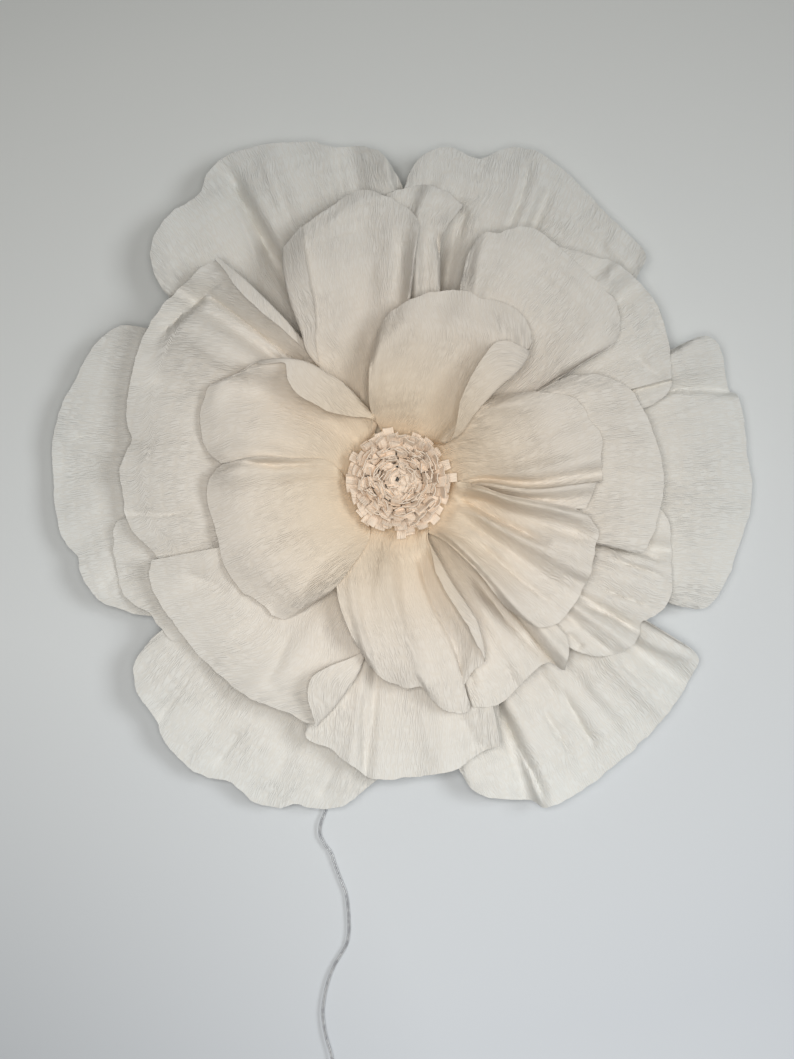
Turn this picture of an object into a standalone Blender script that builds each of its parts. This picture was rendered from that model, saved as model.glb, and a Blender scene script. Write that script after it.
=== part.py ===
"""Giant paper flower wall lamp: crepe petals in four layers round a fringed paper centre.

The wall is the plane y = 0 and the flower faces -Y, with +Z up. The origin is the middle of the
back board's rear face. Sizes here are millimetres. "Height" means distance in front of the wall.
Clock angles are degrees clockwise from twelve o'clock, as the viewer sees the flower.
"""

import math

import bmesh
import bpy
import numpy as np

MM = 0.001

# Paper and fits
PAPER = 0.8
GLUE_GAP = 0.3
LAY_GAP = 0.6

# Where the petal outlines were measured from: they are sizes as seen square to the wall.
VIEWING_DISTANCE = 2200.0
VIEWING_DROP = 47.0

# Back board, hanger and lamp
BOARD_RADIUS = 84.0
BOARD_THICKNESS = 6.0
DRUM_RADIUS = 47.0
DRUM_HEIGHT = 14.0
STRIP_THICKNESS = 1.6
STRIP_WIDTH = 8.0
STRIP_OPENING = 24.0
CARD = 2.0
OUTER_DISC_RADIUS = 60.0
OUTER_SPACER_RADIUS = 30.0
OUTER_SPACER_HEIGHT = 7.0
MIDDLE_DISC_RADIUS = 54.0
MIDDLE_SPACER_RADIUS = 24.0
MIDDLE_SPACER_HEIGHT = 8.0
FRONT_DISC_RADIUS = 46.0

HANGER_WIDTH = 42.0
HANGER_DEPTH = 9.0
HANGER_THICKNESS = 1.2
HANGER_RISE = 52.0
HANGER_TEETH = 7
TOOTH_DEPTH = 2.0
POCKET_DEPTH = 3.0
POCKET_MARGIN = 4.0
SCREW_SPACING = 34.0
SCREW_RADIUS = 1.1
SCREW_LENGTH = 3.4
SCREW_HEAD_RADIUS = 2.2
SCREW_HEAD = 0.8
HOLE_CLEARANCE = 0.2

# Fringed paper centre
ROLL_INNER_RADIUS = 4.0
ROLL_OUTER_RADIUS = 39.0
ROLL_TURNS = 8.5
ROLL_BAND = 13.0
ROLL_THICKNESS = 1.5
TAB_WIDTH = 9.2
SLIT_WIDTH = 1.2
# Lean (degrees, outwards) and length of the tabs at each radius of the roll
TAB_RADII = [4.0, 10.0, 17.0, 24.0, 29.0, 34.0, 39.0]
TAB_LEANS = [0.0, -14.0, -28.0, -20.0, 0.0, 28.0, 60.0]
TAB_LENGTHS = [9.0, 11.0, 13.5, 15.0, 15.5, 16.5, 18.5]

# Cord
CORD_DIAMETER = 3.0
BLOCK_CLOCK = 176.0
BLOCK_INNER = 49.6
BLOCK_OUTER = BOARD_RADIUS - 2.0
BLOCK_WIDTH = 15.0
BLOCK_HEIGHT = 8.0
SLEEVE_LENGTH = 20.0
SLEEVE_RADIUS = 3.4
SLEEVE_TIP_RADIUS = 2.2
COIL_CENTRE = (-46.0, -620.0)
COIL_MEAN_RADIUS = 17.0
COIL_ROWS = 3
COIL_DEEP = 4
COIL_WALL_GAP = 2.0
TIE_CLOCK = 45.0
TIE_WIDTH = 4.0
TIE_THICKNESS = 1.0
PLUG_WIDTH = 16.0
PLUG_DEPTH = 8.0
PLUG_LENGTH = 26.0
SHELL_WIDTH = 12.0
SHELL_DEPTH = 4.5
SHELL_LENGTH = 12.0

# Mesh fineness of a petal: cells across and along, and steps round a turned-over edge
CELLS_ACROSS = 14
CELLS_ALONG = 6
HOOK_STEPS = 4

# Material colours
CREAM = (0.80, 0.74, 0.64, 1.0)
CARD_GREY = (0.62, 0.60, 0.55, 1.0)
BOARD_BROWN = (0.55, 0.42, 0.28, 1.0)
WHITE_PLASTIC = (0.82, 0.82, 0.80, 1.0)
CLEAR_CORD = (0.66, 0.67, 0.68, 1.0)
STEEL = (0.60, 0.60, 0.60, 1.0)
AMBER = (0.90, 0.70, 0.35, 1.0)


class Layer:
    """One ring of petals: the disc that its tabs are glued to, and how the tabs lie on it."""

    def __init__(self, seat, tab_inner, tab_outer, inner_half, outer_half):
        self.seat = seat
        self.level = seat + GLUE_GAP + PAPER / 2
        self.tab_inner = tab_inner
        self.tab_outer = tab_outer
        self.inner_half = inner_half
        self.outer_half = outer_half


DRUM_FRONT = BOARD_THICKNESS + GLUE_GAP + DRUM_HEIGHT
OUTER_DISC_FRONT = DRUM_FRONT + GLUE_GAP + CARD
OUTER_SPACER_FRONT = OUTER_DISC_FRONT + GLUE_GAP + OUTER_SPACER_HEIGHT
MIDDLE_DISC_FRONT = OUTER_SPACER_FRONT + GLUE_GAP + CARD
MIDDLE_SPACER_FRONT = MIDDLE_DISC_FRONT + GLUE_GAP + MIDDLE_SPACER_HEIGHT
FRONT_DISC_FRONT = MIDDLE_SPACER_FRONT + GLUE_GAP + CARD

BACK = Layer(BOARD_THICKNESS, 56.0, 80.0, 20.0, 26.0)
OUTER = Layer(OUTER_DISC_FRONT, 34.0, 58.0, 15.0, 24.0)
MIDDLE = Layer(MIDDLE_DISC_FRONT, 28.0, 52.0, 9.0, 17.0)
FRONT = Layer(FRONT_DISC_FRONT, 16.0, 44.0, 6.0, 18.0)

ROLL_SEAT = FRONT.level + PAPER / 2 + GLUE_GAP

# A petal is a patch between four edges: its neck on the disc, its two sides and its rim. Going
# clockwise, "before" is the side reached first and "after" the side reached last. Points are
# (x, z) as the viewer sees them; a side lists only the points between the neck and the rim.
#   rise     height gained from the neck to the rim, and bow how soon it is gained
#   cup      how far both sides stand forward of the middle; tilt lifts "after" over "before"
#   lip      how far the rim turns back to the wall
#   folds    (place across 0..1, height, width, from, to) with from and to along the petal
#   pleats   sawtooth creases: (place across, height, run-out, from, to)
#   hooks    edges turned over to the front: side, roll radius, turn, and (place, width) stations
PETALS = [
    dict(name="back_petal_left", layer=BACK, clock=272, rise=30, bow=1.5, cup=8, tilt=0, lip=10,
         before=[(-190, -80)], after=[(-190, 105)],
         rim=[(-240, -134), (-270, -130), (-292, -121), (-309, -107), (-318, -88), (-320, -75), (-333, -60),
              (-341, -36), (-345, 2), (-346, 37), (-340, 67), (-330, 90), (-322, 104), (-312, 124),
              (-296, 146), (-276, 157), (-250, 154)],
         folds=[(0.25, 5, 0.07, 0.5, 1.0), (0.52, -4, 0.04, 0.4, 0.9), (0.78, 4, 0.08, 0.4, 1.0)]),
    dict(name="back_petal_top_left", layer=BACK, clock=334, rise=36, bow=1.5, cup=10, tilt=-4, lip=12,
         before=[(-150, 120)], after=[(10, 180)],
         rim=[(-228, 184), (-244, 210), (-246, 242), (-228, 268), (-200, 288), (-190, 310), (-173, 326),
              (-143, 336), (-98, 341), (-63, 336), (-30, 335), (-10, 322), (6, 292)],
         folds=[(0.44, -9, 0.035, 0.35, 0.95), (0.485, 6, 0.03, 0.35, 0.8), (0.60, 6, 0.05, 0.3, 1.0),
                (0.80, -6, 0.03, 0.45, 1.0), (0.90, 7, 0.06, 0.5, 1.0)]),
    dict(name="back_petal_top_right", layer=BACK, clock=27, rise=36, bow=1.5, cup=8, tilt=-6, lip=10,
         before=[(8, 180)], after=[(165, 130)],
         rim=[(5, 290), (14, 314), (32, 332), (54, 334), (80, 324), (102, 332), (130, 334), (154, 322),
              (182, 297), (214, 264), (247, 230), (243, 214), (235, 200)],
         folds=[(0.12, -8, 0.03, 0.2, 0.75), (0.19, 6, 0.03, 0.2, 0.8), (0.26, -8, 0.03, 0.2, 0.75),
                (0.50, 9, 0.06, 0.3, 1.0), (0.55, -8, 0.025, 0.3, 0.85), (0.93, 8, 0.05, 0.6, 1.0)]),
    dict(name="back_petal_right", layer=BACK, clock=88, rise=32, bow=1.5, cup=6, tilt=-6, lip=8,
         before=[(190, 80)], after=[(180, -75)],
         rim=[(271, 132), (292, 142), (308, 147), (321, 137), (327, 114), (330, 92), (339, 87), (346, 62),
              (349, 32), (354, -3), (350, -36), (340, -66), (328, -100), (314, -120), (297, -126),
              (262, -118)],
         folds=[(0.10, 9, 0.08, 0.6, 1.0), (0.62, -4, 0.05, 0.5, 1.0), (0.80, 4, 0.06, 0.5, 1.0)],
         pleats=[(0.285, -13, 0.06, 0.55, 1.0)]),
    dict(name="back_petal_bottom_right", layer=BACK, clock=141, rise=30, bow=1.5, cup=4, tilt=0, lip=6,
         before=[(150, -75)], after=[(48, -190)],
         rim=[(245, -138), (274, -154), (300, -173), (295, -190), (286, -208), (273, -226), (262, -240),
              (242, -261), (217, -283), (187, -306), (151, -325), (134, -318), (102, -317), (80, -311),
              (69, -300), (61, -287)],
         folds=[(0.12, 8, 0.04, 0.5, 1.0), (0.25, -11, 0.035, 0.45, 1.0), (0.33, 6, 0.04, 0.5, 1.0),
                (0.47, -5, 0.03, 0.4, 0.85), (0.56, -5, 0.03, 0.4, 0.85), (0.72, 12, 0.05, 0.35, 1.0),
                (0.79, -10, 0.035, 0.4, 1.0)]),
    dict(name="back_petal_bottom_left", layer=BACK, clock=211, rise=34, bow=1.5, cup=10, tilt=4, lip=12,
         before=[(-14, -190)], after=[(-150, -95)],
         rim=[(-18, -294), (-28, -302), (-44, -316), (-63, -326), (-88, -325), (-101, -321), (-120, -324),
              (-140, -321), (-158, -308), (-170, -298), (-193, -294), (-218, -277), (-235, -255),
              (-242, -237), (-258, -215), (-265, -195), (-260, -174), (-240, -150)],
         folds=[(0.13, 5, 0.05, 0.5, 1.0), (0.34, -4, 0.04, 0.45, 1.0), (0.60, -4, 0.03, 0.4, 0.95),
                (0.78, 7, 0.05, 0.4, 1.0)]),
    dict(name="outer_petal_left", layer=OUTER, clock=250, rise=26, bow=1.8, cup=6, tilt=0, lip=8,
         before=[(-130, -110)], after=[(-160, -30)],
         rim=[(-205, -160), (-226, -158), (-238, -146), (-248, -131), (-265, -121), (-276, -108),
              (-281, -86), (-285, -58), (-281, -40), (-266, -32)],
         folds=[(0.35, 4, 0.06, 0.5, 1.0), (0.60, -5, 0.05, 0.5, 1.0)]),
    dict(name="outer_petal_top", layer=OUTER, clock=8, rise=44, bow=1.8, cup=6, tilt=0, lip=12,
         before=[(-22, 170)], after=[(40, 150), (42, 200), (44, 245)],
         rim=[(-26, 275), (-7, 290), (7, 294), (22, 297), (36, 296), (49, 290), (65, 277)],
         folds=[(0.62, 8, 0.08, 0.4, 0.95), (0.35, -6, 0.07, 0.3, 0.8)]),
    dict(name="outer_petal_upper_right", layer=OUTER, clock=58, rise=38, bow=1.8, cup=6, tilt=-4, lip=8,
         before=[(105, 150)], after=[(150, 55)],
         rim=[(158, 235), (177, 232), (194, 226), (210, 223), (224, 215), (238, 204), (252, 188),
              (263, 170), (269, 147), (273, 110), (271, 92), (257, 80), (240, 72)],
         folds=[(0.28, 7, 0.05, 0.6, 1.0), (0.38, -6, 0.05, 0.6, 1.0), (0.62, -4, 0.06, 0.6, 1.0)],
         pleats=[(0.80, -8, 0.08, 0.6, 1.0)]),
    dict(name="outer_petal_lower_right", layer=OUTER, clock=115, rise=30, bow=1.8, cup=4, tilt=0, lip=5,
         before=[(150, -22)], after=[(110, -105)],
         rim=[(262, -25), (271, -41), (273, -63), (274, -88), (273, -110), (265, -127), (254, -135),
              (243, -141), (242, -152), (236, -161), (220, -170), (202, -175), (185, -171), (169, -163)],
         folds=[(0.20, -7, 0.035, 0.55, 1.0), (0.30, 5, 0.05, 0.5, 1.0), (0.62, -6, 0.03, 0.5, 1.0),
                (0.70, 6, 0.03, 0.5, 1.0), (0.78, -5, 0.03, 0.5, 1.0)]),
    dict(name="outer_petal_bottom", layer=OUTER, clock=161, rise=24, bow=1.8, cup=3, tilt=0, lip=3, narrow=0.6,
         before=[(80, -140)], after=[(52, -160)],
         rim=[(101, -222), (103, -245), (103, -265), (93, -263), (85, -256), (76, -242), (69, -226)],
         folds=[(0.5, 6, 0.12, 0.5, 1.0)]),
    dict(name="middle_petal_bottom", layer=MIDDLE, clock=186, rise=34, bow=2.0, cup=8, tilt=0, lip=8,
         before=[(60, -140), (92, -215)], after=[(-62, -140)],
         rim=[(102, -263), (89, -267), (75, -275), (61, -286), (42, -291), (12, -295), (-22, -296),
              (-40, -288), (-58, -275), (-68, -265), (-83, -260), (-92, -254), (-90, -238)],
         folds=[(0.28, 4, 0.07, 0.4, 1.0), (0.62, -5, 0.03, 0.45, 1.0), (0.70, 4, 0.04, 0.4, 1.0)]),
    dict(name="middle_petal_upper_right", layer=MIDDLE, clock=40, rise=46, bow=2.0, cup=8, tilt=-4, lip=16,
         before=[(46, 110), (58, 165)], after=[(110, 70)],
         rim=[(64, 208), (72, 232), (86, 250), (100, 250), (114, 254), (129, 256), (144, 249), (162, 234),
              (182, 216), (202, 198), (218, 179), (222, 157), (216, 139), (200, 129), (178, 118),
              (156, 102)],
         folds=[(0.16, 7, 0.05, 0.3, 1.0), (0.55, -6, 0.10, 0.35, 0.9), (0.84, 8, 0.04, 0.4, 1.0),
                (0.90, -6, 0.03, 0.35, 0.9)]),
    dict(name="middle_petal_right", layer=MIDDLE, clock=88, rise=40, bow=2.0, cup=8, tilt=-2, lip=8,
         before=[(90, 62)], after=[(120, -44)],
         rim=[(160, 102), (179, 107), (200, 108), (218, 103), (232, 94), (241, 80), (250, 62), (258, 42),
              (264, 17), (265, -8), (262, -30), (255, -50), (245, -69), (224, -67), (200, -61)],
         folds=[(0.35, 5, 0.07, 0.4, 1.0), (0.62, -4, 0.06, 0.5, 1.0), (0.86, 6, 0.04, 0.5, 1.0)]),
    dict(name="middle_petal_lower_right", layer=MIDDLE, clock=138, rise=34, bow=2.0, cup=4, tilt=0, lip=4,
         before=[(84, -66)], after=[(34, -92), (50, -150)],
         rim=[(148, -138), (162, -152), (171, -163), (168, -182), (147, -198), (122, -212), (99, -222),
              (78, -224), (70, -214), (64, -200)],
         folds=[(0.25, 7, 0.05, 0.4, 1.0), (0.36, -10, 0.04, 0.3, 1.0), (0.55, 5, 0.06, 0.4, 1.0),
                (0.72, -5, 0.05, 0.35, 1.0)]),
    dict(name="middle_petal_left", layer=MIDDLE, clock=284, rise=42, bow=2.0, cup=10, tilt=6, lip=14,
         before=[(-110, -20)], after=[(-68, 85), (-83, 119), (-108, 154), (-148, 195)],
         rim=[(-180, -78), (-231, -93), (-235, -84), (-242, -73), (-248, -65), (-257, -59), (-265, -50),
              (-271, -38), (-274, -23), (-278, 7), (-276, 20), (-271, 32), (-266, 42), (-268, 52),
              (-271, 67), (-270, 87), (-266, 107), (-258, 137), (-243, 167), (-228, 185), (-208, 204),
              (-193, 217), (-181, 224)],
         folds=[(0.16, -4, 0.03, 0.4, 1.0), (0.46, 5, 0.06, 0.4, 1.0), (0.66, -5, 0.05, 0.35, 0.9),
                (0.80, 9, 0.05, 0.3, 1.0), (0.88, -12, 0.03, 0.25, 1.0)]),
    dict(name="middle_petal_lower_left", layer=MIDDLE, clock=233, rise=38, bow=2.0, cup=8, tilt=-4, lip=10,
         before=[(-46, -80), (-35, -130), (-36, -170), (-44, -192), (-62, -218)], after=[(-120, -50)],
         rim=[(-84, -243), (-96, -238), (-108, -231), (-123, -225), (-143, -218), (-163, -206),
              (-183, -188), (-198, -173), (-213, -155), (-228, -136), (-238, -120), (-245, -108),
              (-248, -92), (-246, -78)],
         folds=[(0.30, 5, 0.07, 0.4, 1.0), (0.55, -4, 0.06, 0.5, 1.0), (0.75, 5, 0.06, 0.4, 1.0)],
         hooks=[dict(side="before", roll=4.0, turn=150,
                     widths=[(0.45, 0), (0.7, 30), (0.9, 26), (1.0, 4)])]),
    dict(name="middle_petal_top_left", layer=MIDDLE, clock=346, rise=52, bow=2.2, cup=-10, tilt=0, lip=22,
         before=[(-60, 95)], after=[(5, 130), (13, 192)],
         rim=[(-88, 130), (-95, 152), (-106, 182), (-113, 212), (-114, 235), (-98, 254), (-76, 270),
              (-53, 285), (-32, 292), (-12, 286), (7, 276), (20, 260), (19, 240)],
         folds=[(0.20, 16, 0.05, 0.3, 1.0), (0.55, -12, 0.16, 0.2, 0.85), (0.93, 16, 0.08, 0.3, 0.95)]),
    dict(name="front_petal_right", layer=FRONT, clock=76, rise=50, bow=2.2, cup=-4, tilt=0, lip=16,
         before=[(62, 60), (76, 73)], after=[(82, -12), (130, -26)],
         rim=[(92, 85), (107, 88), (132, 90), (157, 89), (174, 85), (185, 76), (191, 64), (199, 55),
              (204, 42), (203, 22), (204, 2), (198, 0), (193, -15), (188, -26)],
         folds=[(0.72, 5, 0.05, 0.4, 1.0), (0.80, -9, 0.035, 0.2, 1.0), (0.88, 7, 0.04, 0.2, 1.0),
                (0.45, -5, 0.10, 0.5, 0.9)]),
    dict(name="front_petal_lower_right", layer=FRONT, clock=122, rise=44, bow=2.2, cup=2, tilt=0, lip=12,
         before=[(82, -14), (107, -24), (132, -29)], after=[(48, -60), (78, -88), (104, -120)],
         rim=[(177, -34), (192, -42), (200, -48), (198, -63), (195, -78), (192, -93), (184, -108),
              (175, -123), (165, -136), (154, -143), (142, -145), (130, -140), (117, -131)],
         folds=[(0.08, 6, 0.05, 0.1, 1.0), (0.22, -12, 0.06, 0.1, 0.85), (0.42, 8, 0.05, 0.2, 1.0),
                (0.56, -6, 0.05, 0.2, 0.95), (0.85, 10, 0.08, 0.1, 1.0)]),
    dict(name="front_petal_bottom", layer=FRONT, clock=180, rise=50, bow=2.2, cup=6, tilt=0, lip=8,
         before=[(27, -56), (39, -78), (52, -101), (67, -123), (77, -140), (83, -160)],
         after=[(-30, -68), (-43, -86), (-50, -120), (-48, -150)],
         rim=[(86, -180), (76, -187), (68, -198), (66, -208), (72, -224), (62, -230), (48, -228),
              (36, -219), (26, -206), (20, -203), (10, -205), (-4, -201), (-17, -195), (-28, -183),
              (-36, -169)],
         folds=[(0.18, -10, 0.10, 0.2, 0.85), (0.55, 8, 0.10, 0.2, 0.9), (0.86, 5, 0.05, 0.3, 1.0)],
         hooks=[dict(side="before", roll=2.5, turn=120, widths=[(0.1, 2), (0.5, 12), (0.85, 10), (1.0, 2)])]),
    dict(name="front_petal_lower_left", layer=FRONT, clock=243, rise=46, bow=2.2, cup=-6, tilt=4, lip=12,
         before=[(-30, -60), (-45, -82), (-62, -104)], after=[(-72, 22), (-108, 24), (-138, 26)],
         rim=[(-80, -119), (-98, -130), (-112, -136), (-124, -134), (-132, -124), (-142, -116),
              (-153, -111), (-158, -106), (-168, -93), (-176, -78), (-179, -63), (-182, -46),
              (-187, -33), (-191, -18), (-190, -1), (-185, 9), (-176, 17), (-160, 23)],
         folds=[(0.22, -5, 0.06, 0.4, 0.95), (0.40, 5, 0.10, 0.4, 1.0), (0.93, -6, 0.04, 0.3, 1.0)]),
    dict(name="front_petal_top", layer=FRONT, clock=14, rise=56, bow=2.2, cup=-8, tilt=0, lip=24,
         before=[(-28, 75), (-29, 110)], after=[(58, 48), (76, 72), (98, 96)],
         rim=[(-25, 132), (-19, 153), (-6, 171), (14, 183), (39, 191), (65, 192), (87, 184), (107, 179),
              (122, 170), (131, 156), (134, 142), (128, 126), (117, 112)],
         folds=[(0.12, 4, 0.06, 0.3, 1.0), (0.45, -4, 0.10, 0.4, 0.9), (0.70, -14, 0.05, 0.05, 0.62),
                (0.82, 10, 0.06, 0.05, 0.9)]),
    dict(name="front_petal_upper_left", layer=FRONT, clock=300, rise=48, bow=2.2, cup=6, tilt=4, lip=10,
         before=[(-62, 34), (-100, 36), (-140, 33)],
         after=[(-34, 62), (-56, 96), (-74, 108), (-90, 117), (-104, 121), (-122, 122), (-142, 119)],
         rim=[(-177, 19), (-187, 27), (-194, 40), (-197, 60), (-195, 80), (-190, 96), (-176, 103),
              (-164, 107), (-154, 113)],
         folds=[(0.60, -10, 0.16, 0.15, 0.8), (0.10, 4, 0.08, 0.3, 0.9)],
         hooks=[dict(side="after", roll=4.0, turn=150,
                     widths=[(0.15, 8), (0.35, 34), (0.55, 32), (0.68, 8), (0.82, 18), (0.95, 4)])]),
]


def clock_direction(angle):
    """Outwards along a clock angle, as (x, z)."""
    turn = math.radians(angle)
    return np.array([math.sin(turn), math.cos(turn)])


def clock_tangent(angle):
    """Clockwise along the circle at a clock angle, as (x, z)."""
    turn = math.radians(angle)
    return np.array([math.cos(turn), -math.sin(turn)])


def ease(value, low, high):
    """0 below low, 1 above high, and a smooth step between."""
    share = np.clip((value - low) / (high - low), 0.0, 1.0)
    return share * share * (3.0 - 2.0 * share)


def through(points, count):
    """A smooth curve through the points (Catmull-Rom), as count points evenly spaced along it."""
    knots = np.array(points, float)
    knots = np.vstack([2 * knots[0] - knots[1], knots, 2 * knots[-1] - knots[-2]])
    steps = np.linspace(0.0, 1.0, 12, endpoint=False)[:, None]
    spans = []
    for a, b, c, d in zip(knots, knots[1:], knots[2:], knots[3:]):
        spans.append(0.5 * (2 * b + (c - a) * steps + (2 * a - 5 * b + 4 * c - d) * steps**2
                            + (3 * b - a - 3 * c + d) * steps**3))
    fine = np.vstack([*spans, knots[-2:-1]])
    along = np.concatenate([[0.0], np.cumsum(np.linalg.norm(np.diff(fine, axis=0), axis=1))])
    wanted = np.linspace(0.0, along[-1], count)
    return np.stack([np.interp(wanted, along, fine[:, k]) for k in range(fine.shape[1])], axis=1)


class Pile:
    """The front of everything laid so far, as a map of heights over the wall."""

    CELL = 2.0
    MARGIN = 26.0

    def __init__(self):
        furthest = max(abs(value) for petal in PETALS for point in petal["rim"] for value in point)
        self.reach = self.CELL * math.ceil((furthest + self.MARGIN) / self.CELL)
        size = int(2 * self.reach / self.CELL) + 1
        self.top = np.zeros((size, size))

    def cells(self, places):
        """Row and column of the map under each (x, z)."""
        index = np.rint((places + self.reach) / self.CELL).astype(int)
        return tuple(np.clip(index, 0, len(self.top) - 1).T)

    @staticmethod
    def spread(sheet, faces, fineness):
        """Points all over each triangle of a sheet of (x, z, height), and how much its slope thickens it."""
        share = [(i / fineness, j / fineness) for i in range(fineness + 1) for j in range(fineness + 1 - i)]
        weights = np.array([(1 - a - b, a, b) for a, b in share])
        corners = sheet[faces]
        normal = np.cross(corners[:, 1] - corners[:, 0], corners[:, 2] - corners[:, 0])
        steepness = np.abs(normal[:, 2]) / np.maximum(np.linalg.norm(normal, axis=1), 1e-9)
        half = PAPER / 2 / np.maximum(steepness, 0.2)
        return np.einsum("kc,fcx->fkx", weights, corners), half

    def lack(self, sheet, faces, fineness):
        """How far each triangle must come forward to clear what lies under it."""
        points, half = self.spread(sheet, faces, fineness)
        under = self.top[self.cells(points[..., :2].reshape(-1, 2))].reshape(points.shape[:2])
        return np.maximum((under + LAY_GAP - points[..., 2]).max(axis=1) + half, 0.0)

    def add(self, sheet, faces, fineness):
        points, half = self.spread(sheet, faces, fineness)
        front = points[..., 2] + half[:, None]
        np.maximum.at(self.top, self.cells(points[..., :2].reshape(-1, 2)), front.ravel())


def neck_corners(petal, radius, half):
    """The two ends of the petal's edge at a radius on its disc, clockwise."""
    outward = clock_direction(petal["clock"]) * radius
    sideways = clock_tangent(petal["clock"]) * half * petal.get("narrow", 1.0)
    return outward - sideways, outward + sideways


def patch(petal, across, along):
    """The petal's outline filled with a grid of (x, z): a patch blended from its four edges."""
    layer = petal["layer"]
    neck_before, neck_after = neck_corners(petal, layer.tab_outer, layer.outer_half)
    rim = through(petal["rim"], across + 1)
    before = through([neck_before, *petal["before"], petal["rim"][0]], along + 1)
    after = through([neck_after, *petal["after"], petal["rim"][-1]], along + 1)
    s = np.linspace(0.0, 1.0, across + 1)[None, :, None]
    t = np.linspace(0.0, 1.0, along + 1)[:, None, None]
    neck = neck_before + (neck_after - neck_before) * s
    sides = (1 - s) * before[:, None] + s * after[:, None]
    ends = (1 - t) * neck + t * rim[None]
    corners = ((1 - s) * (1 - t) * neck_before + s * (1 - t) * neck_after
               + (1 - s) * t * rim[0] + s * t * rim[-1])
    return sides + ends - corners


def window(t, start, end):
    """1 between start and end along the petal, fading to 0 outside."""
    return ease(t, max(start - 0.15, 0.0), start + 0.15) * (1.0 - ease(t, end, end + 0.15))


def form(petal, s, t):
    """Height of the petal's middle surface at s across and t along, before it is laid over others."""
    height = petal["layer"].level + petal["rise"] * (1.0 - (1.0 - t) ** petal["bow"])
    height = height + petal["cup"] * (2 * s - 1) ** 2 * t + petal["tilt"] * (2 * s - 1) * t
    height = height - petal["lip"] * ease(t, 0.70, 1.15) * 1.5
    for place, depth, width, start, end in petal.get("folds", []):
        height = height + depth * np.exp(-(((s - place) / width) ** 2)) * window(t, start, end)
    for place, depth, run_out, start, end in petal.get("pleats", []):
        ahead = np.maximum(s - place, 0.0)
        height = height + depth * (s > place) * np.exp(-ahead / run_out) * window(t, start, end)
    return height


def seen_to_real(places, height, t):
    """Draws points in towards the line of sight, so that from the viewing distance they look as measured."""
    eye = np.array([0.0, -VIEWING_DROP])
    share = (height / VIEWING_DISTANCE * np.minimum(3.0 * t, 1.0))[..., None]
    return places + (eye - places) * share


def grid_faces(rows, columns):
    """Triangles of a grid of rows x columns points, turned to face the viewer."""
    index = np.arange(rows * columns).reshape(rows, columns)
    a, b, c, d = (part.ravel() for part in (index[:-1, :-1], index[:-1, 1:], index[1:, 1:], index[1:, :-1]))
    return np.vstack([np.stack([a, b, c], axis=1), np.stack([a, c, d], axis=1)])


def soften(lift):
    """Each point's lift evened out with its neighbours', never below what it needs."""
    padded = np.pad(lift, 1, mode="edge")
    mean = (padded[:-2, 1:-1] + padded[2:, 1:-1] + padded[1:-1, :-2] + padded[1:-1, 2:]) / 4
    return np.maximum(lift, mean)


def turned_over(edge, inner, hook, share):
    """One column of an edge turned over to the front: a roll of the given radius, then the flat flap."""
    flat = edge[:, :2] - inner[:, :2]
    outward = flat / np.maximum(np.linalg.norm(flat, axis=1, keepdims=True), 1e-6)
    stations = np.array(hook["widths"], float)
    width = np.interp(np.linspace(0.0, 1.0, len(edge)), stations[:, 0], stations[:, 1])
    width[0] = 2.4
    reach = share * np.maximum(width, 2.4)
    turn = math.radians(hook["turn"])
    angle = np.minimum(reach / hook["roll"], turn)
    past = np.maximum(reach - hook["roll"] * turn, 0.0)
    out = hook["roll"] * np.sin(angle) + past * math.cos(turn)
    lift = hook["roll"] * (1.0 - np.cos(angle)) + past * math.sin(turn)
    out[0], lift[0] = reach[0], 0.0
    return np.column_stack([edge[:, :2] + outward * out[:, None], edge[:, 2] + lift])


def with_hooks(sheet, tab_row, hooks):
    """The sheet and its tab row with the columns of each turned-over edge added."""
    for hook in hooks:
        last = hook["side"] == "after"
        edge, inner = (sheet[:, -1], sheet[:, -2]) if last else (sheet[:, 0], sheet[:, 1])
        tab_edge, tab_inner = (tab_row[-1], tab_row[-2]) if last else (tab_row[0], tab_row[1])
        flat = tab_edge - tab_inner
        flat = flat / np.linalg.norm(flat)
        for step in range(1, HOOK_STEPS + 1):
            share = step / HOOK_STEPS
            column = turned_over(edge, inner, hook, share)[:, None]
            corner = (tab_edge + flat * 2.4 * share)[None]
            sheet = np.concatenate([sheet, column] if last else [column, sheet], axis=1)
            tab_row = np.concatenate([tab_row, corner] if last else [corner, tab_row], axis=0)
    return sheet, tab_row


def lay_petal(petal, pile, across, along):
    """The petal as a grid of (x, z, height), tab row first, laid over the pile and then added to it."""
    seen = patch(petal, across, along)
    t, s = np.meshgrid(np.linspace(0, 1, along + 1), np.linspace(0, 1, across + 1), indexing="ij")
    height = form(petal, s, t)
    layer = petal["layer"]
    low, high = neck_corners(petal, layer.tab_inner, layer.inner_half)
    tab = low + (high - low) * s[0][:, None]
    tab_row = np.column_stack([tab, np.full(across + 1, layer.level)])
    faces = grid_faces(along + 1, across + 1)
    fineness = max(3, int(round(250 / along / Pile.CELL)))
    lift = np.zeros_like(height)
    for _ in range(8):
        real = seen_to_real(seen, height + lift, t)
        sheet = np.concatenate([real, (height + lift)[..., None]], axis=2)
        lack = pile.lack(sheet.reshape(-1, 3), faces, fineness)
        if lack.max() < 0.01:
            break
        need = np.zeros(lift.size)
        for corner in range(3):
            np.maximum.at(need, faces[:, corner], lack)
        lift = lift + need.reshape(lift.shape)
        lift[0] = 0.0
        lift = soften(lift)
        lift[0] = 0.0
    real = seen_to_real(seen, height + lift, t)
    sheet = np.concatenate([real, (height + lift)[..., None]], axis=2)
    sheet, tab_row = with_hooks(sheet, tab_row, petal.get("hooks", []))
    pile.add(sheet.reshape(-1, 3), grid_faces(sheet.shape[0], sheet.shape[1]), fineness)
    return np.concatenate([tab_row[None], sheet])


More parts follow.
